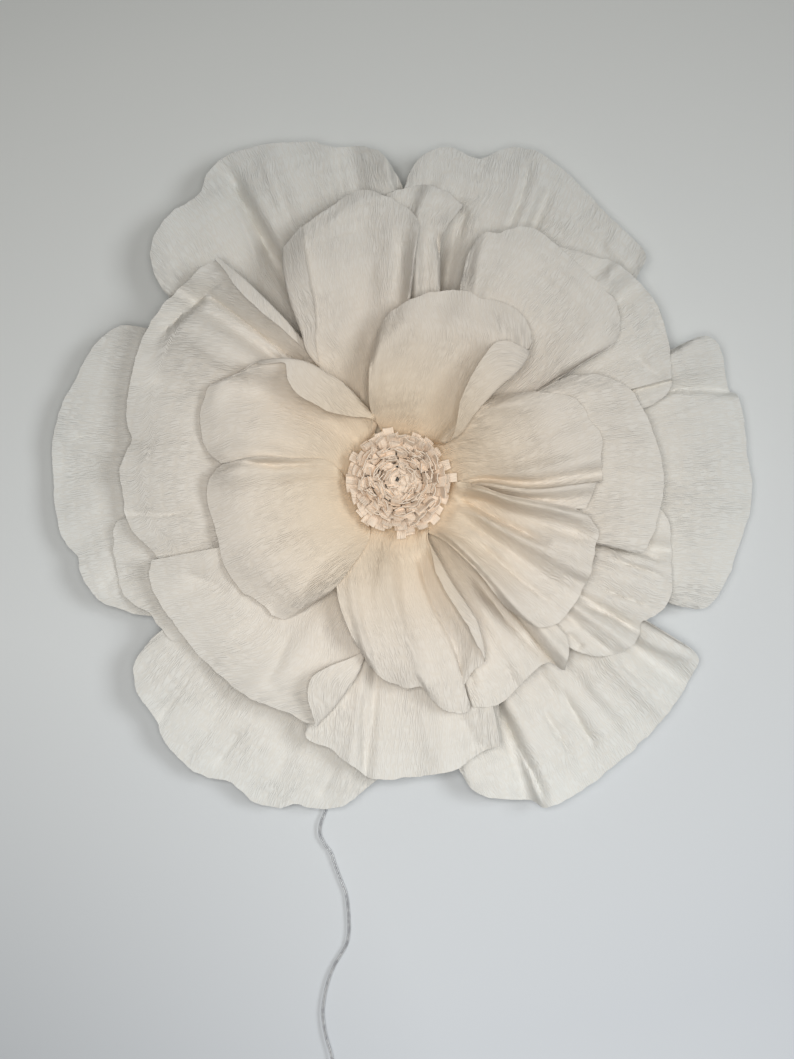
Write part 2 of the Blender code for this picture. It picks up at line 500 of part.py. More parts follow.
def thicken(points, faces, thickness):
    """A closed solid round an open surface: both sides offset from it, and a wall along its free edge."""
    normal = np.zeros_like(points)
    corners = points[faces]
    area = np.cross(corners[:, 1] - corners[:, 0], corners[:, 2] - corners[:, 0])
    for corner in range(3):
        np.add.at(normal, faces[:, corner], area)
    normal /= np.linalg.norm(normal, axis=1, keepdims=True)
    solid = np.vstack([points + normal * thickness / 2, points - normal * thickness / 2])
    edges = np.vstack([faces[:, [0, 1]], faces[:, [1, 2]], faces[:, [2, 0]]])
    known = set(map(tuple, edges.tolist()))
    free = np.array([(a, b) for a, b in edges.tolist() if (b, a) not in known])
    behind = len(points)
    a, b = free[:, 0], free[:, 1]
    walls = np.vstack([np.stack([b, a, a + behind], axis=1), np.stack([b, a + behind, b + behind], axis=1)])
    return solid, np.vstack([faces, faces[:, ::-1] + behind, walls])


def make_material(name, colour, roughness, metallic=0.0, alpha=1.0):
    material = bpy.data.materials.new(name)
    material.use_nodes = True
    shader = material.node_tree.nodes["Principled BSDF"]
    shader.inputs["Base Color"].default_value = colour
    shader.inputs["Roughness"].default_value = roughness
    shader.inputs["Metallic"].default_value = metallic
    shader.inputs["Alpha"].default_value = alpha
    return material


def add_object(name, data, material):
    piece = bpy.data.objects.new(name, data)
    bpy.context.collection.objects.link(piece)
    data.materials.append(material)
    return piece


def add_solid(name, points, faces, material):
    """A mesh object from points given as (x, z, height) in millimetres."""
    points = np.asarray(points, float)
    world = np.column_stack([points[:, 0], -points[:, 2], points[:, 1]]) * MM
    mesh = bpy.data.meshes.new(name)
    mesh.from_pydata(world.tolist(), [], [list(map(int, face)) for face in faces])
    mesh.validate()
    return add_object(name, mesh, material)


def add_turned(name, profile, material, segments=36, start=0.0, sweep=360.0, centre=(0.0, 0.0)):
    """A profile of (radius, height) points turned round an axis square to the wall."""
    profile = np.asarray(profile, float)
    whole = sweep >= 360.0
    rings = segments if whole else segments + 1
    turn = np.radians(start + sweep * np.arange(rings) / segments)
    radius, height = profile[:, 0], profile[:, 1]
    points = np.stack([centre[0] + np.outer(np.sin(turn), radius), centre[1] + np.outer(np.cos(turn), radius),
                       np.tile(height, (rings, 1))], axis=2).reshape(-1, 3)
    count = len(profile)
    faces = []
    for ring in range(segments):
        here, there = ring * count, ((ring + 1) % rings) * count
        for k in range(count):
            following = (k + 1) % count
            faces.append([here + k, here + following, there + following, there + k])
    if not whole:
        faces.append(list(range(count))[::-1])
        faces.append([segments * count + k for k in range(count)])
    return add_solid(name, points, faces, material)


def add_disc(name, radius, low, high, material, segments=36, centre=(0.0, 0.0)):
    """A plain round disc between two heights."""
    turn = 2 * math.pi * np.arange(segments) / segments
    ring = np.column_stack([centre[0] + radius * np.sin(turn), centre[1] + radius * np.cos(turn)])
    points = np.vstack([np.column_stack([ring, np.full(segments, low)]),
                        np.column_stack([ring, np.full(segments, high)])])
    front = [segments + k for k in range(segments)][::-1]
    sides = [[k, (k + 1) % segments, segments + (k + 1) % segments, segments + k][::-1] for k in range(segments)]
    return add_solid(name, points, [front, list(range(segments)), *sides], material)


def add_extruded(name, outline, low, high, material, direction=(0.0, 1.0), origin=(0.0, 0.0)):
    """A counter-clockwise outline of (sideways, outwards) points, given height from low to high."""
    outward = np.array(direction, float)
    sideways = np.array([outward[1], -outward[0]])
    outline = np.asarray(outline, float)
    flat = np.asarray(origin, float) + outline[:, :1] * sideways + outline[:, 1:] * outward
    count = len(flat)
    points = np.vstack([np.column_stack([flat, np.full(count, level)]) for level in (low, high)])
    sides = [[k, (k + 1) % count, count + (k + 1) % count, count + k] for k in range(count)]
    ends = [[count + k for k in range(count)], list(range(count))[::-1]]
    return add_solid(name, points, [*ends, *sides], material)


def rounded_box(width, low, high, corner, steps=3):
    """Outline of a box from low to high along its length, with round corners, counter-clockwise."""
    points = []
    right, bottom, top = width / 2 - corner, low + corner, high - corner
    for centre_x, centre_y, first in ((right, bottom, -90), (right, top, 0), (-right, top, 90), (-right, bottom, 180)):
        for step in range(steps + 1):
            turn = math.radians(first + 90 * step / steps)
            points.append((centre_x + corner * math.cos(turn), centre_y + corner * math.sin(turn)))
    return points


def cut(piece, cutter):
    """Cuts one solid out of another for good."""
    boolean = piece.modifiers.new("cut", "BOOLEAN")
    boolean.operation = "DIFFERENCE"
    boolean.solver = "EXACT"
    boolean.object = cutter
    cutter.hide_render = True
    bpy.context.view_layer.update()
    evaluated = piece.evaluated_get(bpy.context.evaluated_depsgraph_get())
    mesh = bpy.data.meshes.new_from_object(evaluated)
    old = piece.data
    piece.modifiers.remove(boolean)
    piece.data = mesh
    bpy.data.meshes.remove(old)
    bpy.data.objects.remove(cutter, do_unlink=True)


def make_petals(material):
    """All petals, from the wall forwards, each laid over the ones before it."""
    pile = Pile()
    for petal in PETALS:
        sheet = lay_petal(petal, pile, CELLS_ACROSS, CELLS_ALONG)
        rows, columns = sheet.shape[:2]
        points, faces = thicken(sheet.reshape(-1, 3), grid_faces(rows, columns), PAPER)
        add_solid(petal["name"], points, faces, material)


def make_carriers(board_material, card_material):
    """The back board, the drum, and the discs and spacers that carry the other petal rings."""
    board = add_disc("back_board", BOARD_RADIUS, 0.0, BOARD_THICKNESS, board_material, 48)
    pocket = rounded_box(HANGER_WIDTH + 2 * POCKET_MARGIN, HANGER_RISE - HANGER_DEPTH / 2 - POCKET_MARGIN,
                         HANGER_RISE + HANGER_DEPTH / 2 + POCKET_MARGIN, 3.0)
    cut(board, add_extruded("pocket", pocket, -1.0, POCKET_DEPTH, card_material))
    for side in (-0.5, 0.5):
        hole = add_disc("hole", SCREW_RADIUS + HOLE_CLEARANCE, 0.5, POCKET_DEPTH + 2.0, card_material, 12,
                        (side * SCREW_SPACING, HANGER_RISE + 1.5))
        cut(board, hole)
    add_disc("drum", DRUM_RADIUS, BOARD_THICKNESS + GLUE_GAP, DRUM_FRONT, card_material)
    add_disc("outer_petal_disc", OUTER_DISC_RADIUS, DRUM_FRONT + GLUE_GAP, OUTER_DISC_FRONT, card_material)
    add_disc("middle_spacer", OUTER_SPACER_RADIUS, OUTER_DISC_FRONT + GLUE_GAP, OUTER_SPACER_FRONT,
             card_material, 24)
    add_disc("middle_petal_disc", MIDDLE_DISC_RADIUS, OUTER_SPACER_FRONT + GLUE_GAP, MIDDLE_DISC_FRONT,
             card_material)
    add_disc("front_spacer", MIDDLE_SPACER_RADIUS, MIDDLE_DISC_FRONT + GLUE_GAP, MIDDLE_SPACER_FRONT,
             card_material, 24)
    add_disc("front_petal_disc", FRONT_DISC_RADIUS, MIDDLE_SPACER_FRONT + GLUE_GAP, FRONT_DISC_FRONT,
             card_material)


def make_hanger(steel):
    """A sawtooth hanger plate in the board's pocket, with its two screws."""
    rear = POCKET_DEPTH - GLUE_GAP - HANGER_THICKNESS
    low, high = HANGER_RISE - HANGER_DEPTH / 2, HANGER_RISE + HANGER_DEPTH / 2
    teeth_width = HANGER_TEETH * 3.0
    outline = [(-HANGER_WIDTH / 2, low), (-teeth_width / 2, low)]
    for tooth in range(HANGER_TEETH):
        left = -teeth_width / 2 + 3.0 * tooth
        outline += [(left + 1.5, low + TOOTH_DEPTH), (left + 3.0, low)]
    outline += [(HANGER_WIDTH / 2, low), (HANGER_WIDTH / 2, high), (-HANGER_WIDTH / 2, high)]
    plate = add_extruded("hanger_plate", outline, rear, rear + HANGER_THICKNESS, steel)
    for side, name in ((-0.5, "hanger_screw_left"), (0.5, "hanger_screw_right")):
        centre = (side * SCREW_SPACING, HANGER_RISE + 1.5)
        cut(plate, add_disc("hole", SCREW_RADIUS + HOLE_CLEARANCE, 0.0, BOARD_THICKNESS, steel, 12, centre))
        head = rear - 0.1 - SCREW_HEAD
        profile = [(0.0, head), (SCREW_HEAD_RADIUS, head), (SCREW_HEAD_RADIUS, head + SCREW_HEAD),
                   (SCREW_RADIUS, head + SCREW_HEAD), (SCREW_RADIUS, head + SCREW_HEAD + SCREW_LENGTH - 0.8),
                   (0.0, head + SCREW_HEAD + SCREW_LENGTH)]
        screw = add_turned(name, profile, steel, 12, centre=centre)
        weld(screw)


def weld(piece):
    """Merges the points of a turned profile that lie on its axis."""
    mesh = bmesh.new()
    mesh.from_mesh(piece.data)
    bmesh.ops.remove_doubles(mesh, verts=mesh.verts, dist=1e-6)
    bmesh.ops.dissolve_degenerate(mesh, dist=1e-7, edges=mesh.edges)
    bmesh.ops.recalc_face_normals(mesh, faces=mesh.faces)
    mesh.to_mesh(piece.data)
    mesh.free()


def make_light(plastic, amber):
    """The strip of lights wound round the drum, and the block where the cord joins it."""
    middle = BOARD_THICKNESS + GLUE_GAP + DRUM_HEIGHT / 2
    inner = DRUM_RADIUS + GLUE_GAP
    profile = [(inner, middle - STRIP_WIDTH / 2), (inner + STRIP_THICKNESS, middle - STRIP_WIDTH / 2),
               (inner + STRIP_THICKNESS, middle + STRIP_WIDTH / 2), (inner, middle + STRIP_WIDTH / 2)]
    opening = math.degrees(STRIP_OPENING / inner)
    strip = add_turned("light_strip", profile, amber, 36, BLOCK_CLOCK + opening / 2, 360.0 - opening)
    weld(strip)
    outline = rounded_box(BLOCK_WIDTH, BLOCK_INNER, BLOCK_OUTER, 2.0)
    low = BOARD_THICKNESS + GLUE_GAP
    add_extruded("cord_block", outline, low, low + BLOCK_HEIGHT, plastic, clock_direction(BLOCK_CLOCK))


def roll_frame(angle, radius):
    """Place and outward direction on the paper roll at an angle in radians."""
    outward = np.array([math.sin(angle), math.cos(angle)])
    return outward * radius, outward


def make_roll(material):
    """The centre: a fringed strip wound into a roll, its tabs leaning out more towards the rim."""
    pitch = (ROLL_OUTER_RADIUS - ROLL_INNER_RADIUS) / ROLL_TURNS
    stations = [0.0]
    last_angle = 2 * math.pi * ROLL_TURNS
    while True:
        radius = ROLL_INNER_RADIUS + pitch * stations[-1] / (2 * math.pi)
        following = stations[-1] + TAB_WIDTH / radius
        if following > last_angle:
            break
        stations.append(following)
        radius = ROLL_INNER_RADIUS + pitch * following / (2 * math.pi)
        if following + (SLIT_WIDTH + TAB_WIDTH) / radius > last_angle:
            break
        stations.append(following + SLIT_WIDTH / radius)
    points, faces = [], []

    def ring(place, outward, height, lean=0.0):
        """Inner and outer point of the strip's thickness, square to its lean."""
        across = np.array([*(outward * math.cos(lean)), -math.sin(lean)]) * ROLL_THICKNESS / 2
        middle = np.array([*place, height])
        points.extend([middle - across, middle + across])
        return len(points) - 2

    low, top = [], []
    for angle in stations:
        place, outward = roll_frame(angle, ROLL_INNER_RADIUS + pitch * angle / (2 * math.pi))
        low.append(ring(place, outward, ROLL_SEAT))
        top.append(ring(place, outward, ROLL_SEAT + ROLL_BAND))
    for k in range(len(stations) - 1):
        a, b, c, d = low[k], low[k + 1], top[k + 1], top[k]
        faces += [[a + 1, b + 1, c + 1, d + 1], [d, c, b, a], [b, b + 1, a + 1, a]]
        if k % 2:
            faces.append([d + 1, c + 1, c, d])
            continue
        middle_angle = (stations[k] + stations[k + 1]) / 2
        radius = ROLL_INNER_RADIUS + pitch * middle_angle / (2 * math.pi)
        length = float(np.interp(radius, TAB_RADII, TAB_LENGTHS)) + 1.2 * math.sin(2.7 * k)
        lean = math.radians(float(np.interp(radius, TAB_RADII, TAB_LEANS)) + 3.0 * math.sin(1.9 * k))
        bends = [lean] if radius < 30.0 else [0.65 * lean, 1.3 * lean]
        outward = roll_frame(middle_angle, radius)[1]
        before = d, c
        reach, height = 0.0, ROLL_SEAT + ROLL_BAND
        edge_places = [roll_frame(stations[j], ROLL_INNER_RADIUS + pitch * stations[j] / (2 * math.pi))[0]
                       for j in (k, k + 1)]
        for bend in bends:
            reach += length / len(bends) * math.sin(bend)
            height += length / len(bends) * math.cos(bend)
            after = tuple(ring(place + outward * reach, outward, height, bend) for place in edge_places)
            p, q = before
            r, u = after
            faces += [[p + 1, q + 1, u + 1, r + 1], [r, u, q, p], [p, p + 1, r + 1, r], [q + 1, q, u, u + 1]]
            before = after
        p, q = before
        faces.append([p + 1, q + 1, q, p])
    first, last = (low[0], top[0]), (low[-1], top[-1])
    faces.append([first[0], first[0] + 1, first[1] + 1, first[1]])
    faces.append([last[0] + 1, last[0], last[1], last[1] + 1])
    add_solid("fringed_centre", points, [face[::-1] for face in faces], material)


def make_tube(name, route, material):
    """A round cord through points of (x, z, height): a smooth curve with a point every 3 diameters."""
    fine = through(route, 200)
    length = np.linalg.norm(np.diff(fine, axis=0), axis=1).sum()
    places = through(route, max(6, int(length / (3 * CORD_DIAMETER)) + 1))
    curve = bpy.data.curves.new(name, "CURVE")
    curve.dimensions = "3D"
    curve.bevel_depth = CORD_DIAMETER / 2 * MM
    curve.bevel_resolution = 2
    curve.use_fill_caps = True
    spline = curve.splines.new("POLY")
    spline.points.add(len(places) - 1)
    for point, (x, z, height) in zip(spline.points, places):
        point.co = (x * MM, -height * MM, z * MM, 1.0)
    return add_object(name, curve, material)


# The cord's route from the sleeve to the coil, as (x, z, height)
CORD_ROUTE = [
    (7.16, -102.4, 10.3), (7.7, -111.0, 10.0), (7.2, -122.0, 7.4), (3.0, -140.0, 3.8), (-8.0, -165.0, 3.0),
    (-24.0, -198.0, 3.0), (-42.0, -238.0, 3.4), (-57.0, -278.0, 4.2), (-67.0, -308.0, 5.0), (-72.4, -328.0, 5.4),
    (-76.0, -337.0, 5.4), (-78.0, -346.0, 5.2), (-77.0, -353.5, 5.0), (-72.4, -362.0, 4.6), (-67.0, -369.5, 4.4),
    (-62.6, -382.0, 4.2), (-57.3, -396.0, 4.0), (-52.0, -410.0, 4.0), (-50.0, -423.0, 4.0), (-49.0, -437.0, 4.0),
    (-49.0, -449.0, 4.0), (-51.0, -460.0, 4.0), (-55.5, -469.0, 4.0), (-62.0, -479.5, 4.2), (-67.0, -490.0, 4.4),
    (-70.6, -501.0, 4.6), (-73.3, -513.0, 4.8), (-75.0, -527.5, 5.0), (-74.2, -540.0, 5.2), (-71.5, -554.0, 5.4),
    (-67.4, -568.0, 5.6), (-65.3, -578.0, 5.8), (-64.6, -588.0, 5.8), (-66.0, -600.0, 5.4), (-68.85, -615.1, 4.6),
]


def make_cord(cord_material, plastic, steel):
    """The cord with its sleeve, coil, tie and plug."""
    direction = clock_direction(BLOCK_CLOCK)
    middle = BOARD_THICKNESS + GLUE_GAP + BLOCK_HEIGHT / 2
    rings = [(0.0, 0.0), (0.0, SLEEVE_RADIUS), (3.0, SLEEVE_RADIUS), (SLEEVE_LENGTH, SLEEVE_TIP_RADIUS),
             (SLEEVE_LENGTH, 0.0)]
    start = direction * (BLOCK_OUTER + GLUE_GAP)
    add_lathe("cord_sleeve", rings, start, direction, middle, plastic)
    make_tube("cord", CORD_ROUTE, cord_material)

    wide, deep = COIL_ROWS * CORD_DIAMETER / 2, COIL_DEEP * CORD_DIAMETER
    low, high = COIL_WALL_GAP, COIL_WALL_GAP + deep
    ring = [(COIL_MEAN_RADIUS - wide, low + 2), (COIL_MEAN_RADIUS - wide + 2, low),
            (COIL_MEAN_RADIUS + wide - 2, low), (COIL_MEAN_RADIUS + wide, low + 2),
            (COIL_MEAN_RADIUS + wide, high - 2), (COIL_MEAN_RADIUS + wide - 2, high),
            (COIL_MEAN_RADIUS - wide + 2, high), (COIL_MEAN_RADIUS - wide, high - 2)]
    coil = add_turned("cord_coil", ring, cord_material, 32, centre=COIL_CENTRE)
    weld(coil)
    make_tie(wide, low, high, plastic)
    make_plug(plastic, steel, cord_material)


def add_lathe(name, rings, start, direction, height, material, segments=12):
    """A solid turned about a line that lies flat, from (along, radius) rings."""
    sideways = np.array([direction[1], -direction[0]])
    points = []
    for along, radius in rings:
        for k in range(segments):
            turn = 2 * math.pi * k / segments
            place = start + direction * along + sideways * radius * math.cos(turn)
            points.append((*place, height + radius * math.sin(turn)))
    faces = []
    for ring in range(len(rings) - 1):
        for k in range(segments):
            here, beside = ring * segments + k, ring * segments + (k + 1) % segments
            faces.append([here, beside, beside + segments, here + segments])
    piece = add_solid(name, points, faces, material)
    weld(piece)
    return piece


def make_tie(wide, low, high, plastic):
    """A strap round the coil's bundle at its upper right."""
    outward = clock_direction(TIE_CLOCK)
    along = clock_tangent(TIE_CLOCK)
    centre = np.array(COIL_CENTRE) + outward * COIL_MEAN_RADIUS
    inner_half, gap = wide + 0.9, 0.4
    loops = []
    for extra in (0.0, TIE_THICKNESS):
        half, bottom, top = inner_half + extra, low - gap - extra, high + gap + extra
        bevel = 1.6
        loops.append([(half - bevel, bottom), (half, bottom + bevel), (half, top - bevel), (half - bevel, top),
                      (bevel - half, top), (-half, top - bevel), (-half, bottom + bevel), (bevel - half, bottom)])
    points, faces = [], []
    for side in (-TIE_WIDTH / 2, TIE_WIDTH / 2):
        for loop in loops:
            for across, height in loop:
                points.append((*(centre + outward * across + along * side), height))
    count = len(loops[0])
    for k in range(count):
        j = (k + 1) % count
        near_in, near_out, far_in, far_out = (block * count for block in range(4))
        faces += [[near_in + k, near_in + j, near_out + j, near_out + k],
                  [far_in + j, far_in + k, far_out + k, far_out + j],
                  [near_out + k, near_out + j, far_out + j, far_out + k],
                  [near_in + j, near_in + k, far_in + k, far_in + j]]
    weld(add_solid("coil_tie", points, faces, plastic))


TAIL_ROUTE = [(-65.1, -633.4, 12.0), (-60.5, -640.5, 11.2), (-55.0, -648.0, 9.6), (-50.2, -656.0, 8.0),
              (-47.2, -664.5, 6.8), (-46.1, -673.0, 6.2), (-46.0, -680.0, 6.0)]


def make_plug(plastic, steel, cord_material):
    """The short tail below the coil, with the plug's moulded body and its metal shell."""
    make_tube("cord_tail", TAIL_ROUTE, cord_material)
    x, z, height = TAIL_ROUTE[-1]
    down = (0.0, -1.0)
    body = rounded_box(PLUG_WIDTH, GLUE_GAP, PLUG_LENGTH, 3.0)
    add_extruded("plug_body", body, height - PLUG_DEPTH / 2, height + PLUG_DEPTH / 2, plastic, down, (x, z))
    shell = rounded_box(SHELL_WIDTH, PLUG_LENGTH + GLUE_GAP, PLUG_LENGTH + SHELL_LENGTH, 0.6, 1)
    add_extruded("plug_shell", shell, height - SHELL_DEPTH / 2, height + SHELL_DEPTH / 2, steel, down, (x, z))


def main():
    for old in list(bpy.data.objects):
        bpy.data.objects.remove(old, do_unlink=True)
    cream = make_material("crepe_paper", CREAM, 0.9)
    centre = make_material("centre_paper", CREAM, 0.9)
    card = make_material("card", CARD_GREY, 0.8)
    board = make_material("board", BOARD_BROWN, 0.7)
    plastic = make_material("plastic", WHITE_PLASTIC, 0.4)
    clear = make_material("cord_sheath", CLEAR_CORD, 0.3)
    steel = make_material("steel", STEEL, 0.3, 1.0)
    amber = make_material("light_strip", AMBER, 0.4)
    make_petals(cream)
    make_carriers(board, card)
    make_hanger(steel)
    make_light(plastic, amber)
    make_roll(centre)
    make_cord(clear, plastic, steel)


main()
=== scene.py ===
"""Dresses the giant paper flower wall light: crepe petals, fringed centre, carriers, lead and wall.

Shapes are worked out in millimetres as (x, z, height), where height is the distance in front of the
wall at y = 0, and are written into their meshes in metres. "Height" always has that meaning here.
"""

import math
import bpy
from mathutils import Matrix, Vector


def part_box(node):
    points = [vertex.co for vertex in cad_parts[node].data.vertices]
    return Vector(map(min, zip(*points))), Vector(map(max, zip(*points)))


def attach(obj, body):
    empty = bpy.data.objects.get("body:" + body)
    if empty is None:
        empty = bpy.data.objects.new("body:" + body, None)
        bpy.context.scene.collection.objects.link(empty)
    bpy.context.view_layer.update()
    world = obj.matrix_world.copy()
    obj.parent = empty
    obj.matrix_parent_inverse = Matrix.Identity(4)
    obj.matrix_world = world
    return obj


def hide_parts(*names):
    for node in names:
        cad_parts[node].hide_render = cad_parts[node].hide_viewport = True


bl_info = {
    "name": "Giant Paper Flower",
    "version": (1, 0, 0),
    "blender": (4, 5, 0),
    "location": "3D View > Sidebar > Flower",
    "description": "Builds a layered crepe-paper flower wall light round its measured frame",
    "category": "Add Mesh",
}

import bpy
import numpy as np
from bpy.props import FloatProperty, FloatVectorProperty, IntProperty, PointerProperty
from mathutils import Vector

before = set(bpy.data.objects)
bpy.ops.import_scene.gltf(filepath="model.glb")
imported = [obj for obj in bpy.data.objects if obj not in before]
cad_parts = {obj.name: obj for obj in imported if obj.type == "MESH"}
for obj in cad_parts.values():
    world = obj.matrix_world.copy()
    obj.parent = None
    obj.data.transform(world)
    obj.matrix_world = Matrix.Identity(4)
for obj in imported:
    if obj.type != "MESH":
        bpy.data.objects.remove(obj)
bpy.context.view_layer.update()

MM = 0.001

# Petals and the discs that they are glued to
PAPER = 0.8
GLUE_GAP = 0.3
LAY_GAP = 0.6
VIEWING_DISTANCE = 2200.0
VIEWING_DROP = 47.0
COARSE_ACROSS = 14
COARSE_ALONG = 6
COARSE_ROUNDS = 8
FINE_ROUNDS = 6
PETAL_LENGTH = 250.0
PETAL_SEED = 40
SEEDS_APART = 11

# Edges that are turned over, whose width wavers a little
HOOK_STEPS = 14
HOOK_LEAST_WIDTH = 2.4
HOOK_WAVER = 0.8
HOOK_WAVES = 22
HOOK_SEED = 7

# Unevenness of the crepe: height, then size across and, where it has one, along the petal
RAGGED_RIM = [(0.9, 11.0), (0.5, 4.0)]
RUMPLES = [(1.6, 34.0, 55.0), (0.55, 13.0, 40.0)]
RIPPLE_SIZE = (5.5, 60.0)
RUFFLE = (1.8, 21.0)


def front_of(node):
    """Height of a CAD node's front face."""
    return -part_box(node)[0].y / MM


class Layer:
    """One ring of petals: the disc that its tabs are glued to, how soon they rise, and how the tabs lie."""

    def __init__(self, disc, bow, tab_inner, tab_outer, inner_half, outer_half, paper_half):
        self.level = front_of(disc) + GLUE_GAP + PAPER / 2
        self.bow = bow
        self.tab_inner = tab_inner
        self.tab_outer = tab_outer
        self.inner_half = inner_half
        self.outer_half = outer_half
        self.paper_half = paper_half


BACK = Layer("back_board", 1.5, 56.0, 80.0, 20.0, 26.0, 32.0)
OUTER = Layer("outer_petal_disc", 1.8, 34.0, 58.0, 15.0, 24.0, 30.0)
MIDDLE = Layer("middle_petal_disc", 2.0, 28.0, 52.0, 9.0, 17.0, 28.0)
FRONT = Layer("front_petal_disc", 2.2, 16.0, 44.0, 6.0, 18.0, 28.0)


def entry(name, layer, before, after, rim, bow=None, tilt=0, narrow=1.0, folds=(), pleats=(), hooks=(),
          creases=(), **shape):
    """One petal in the table below."""
    return dict(name=name, layer=layer, before=before, after=after, rim=rim, bow=bow or layer.bow, tilt=tilt,
                narrow=narrow, folds=folds, pleats=pleats, hooks=hooks, creases=creases, **shape)


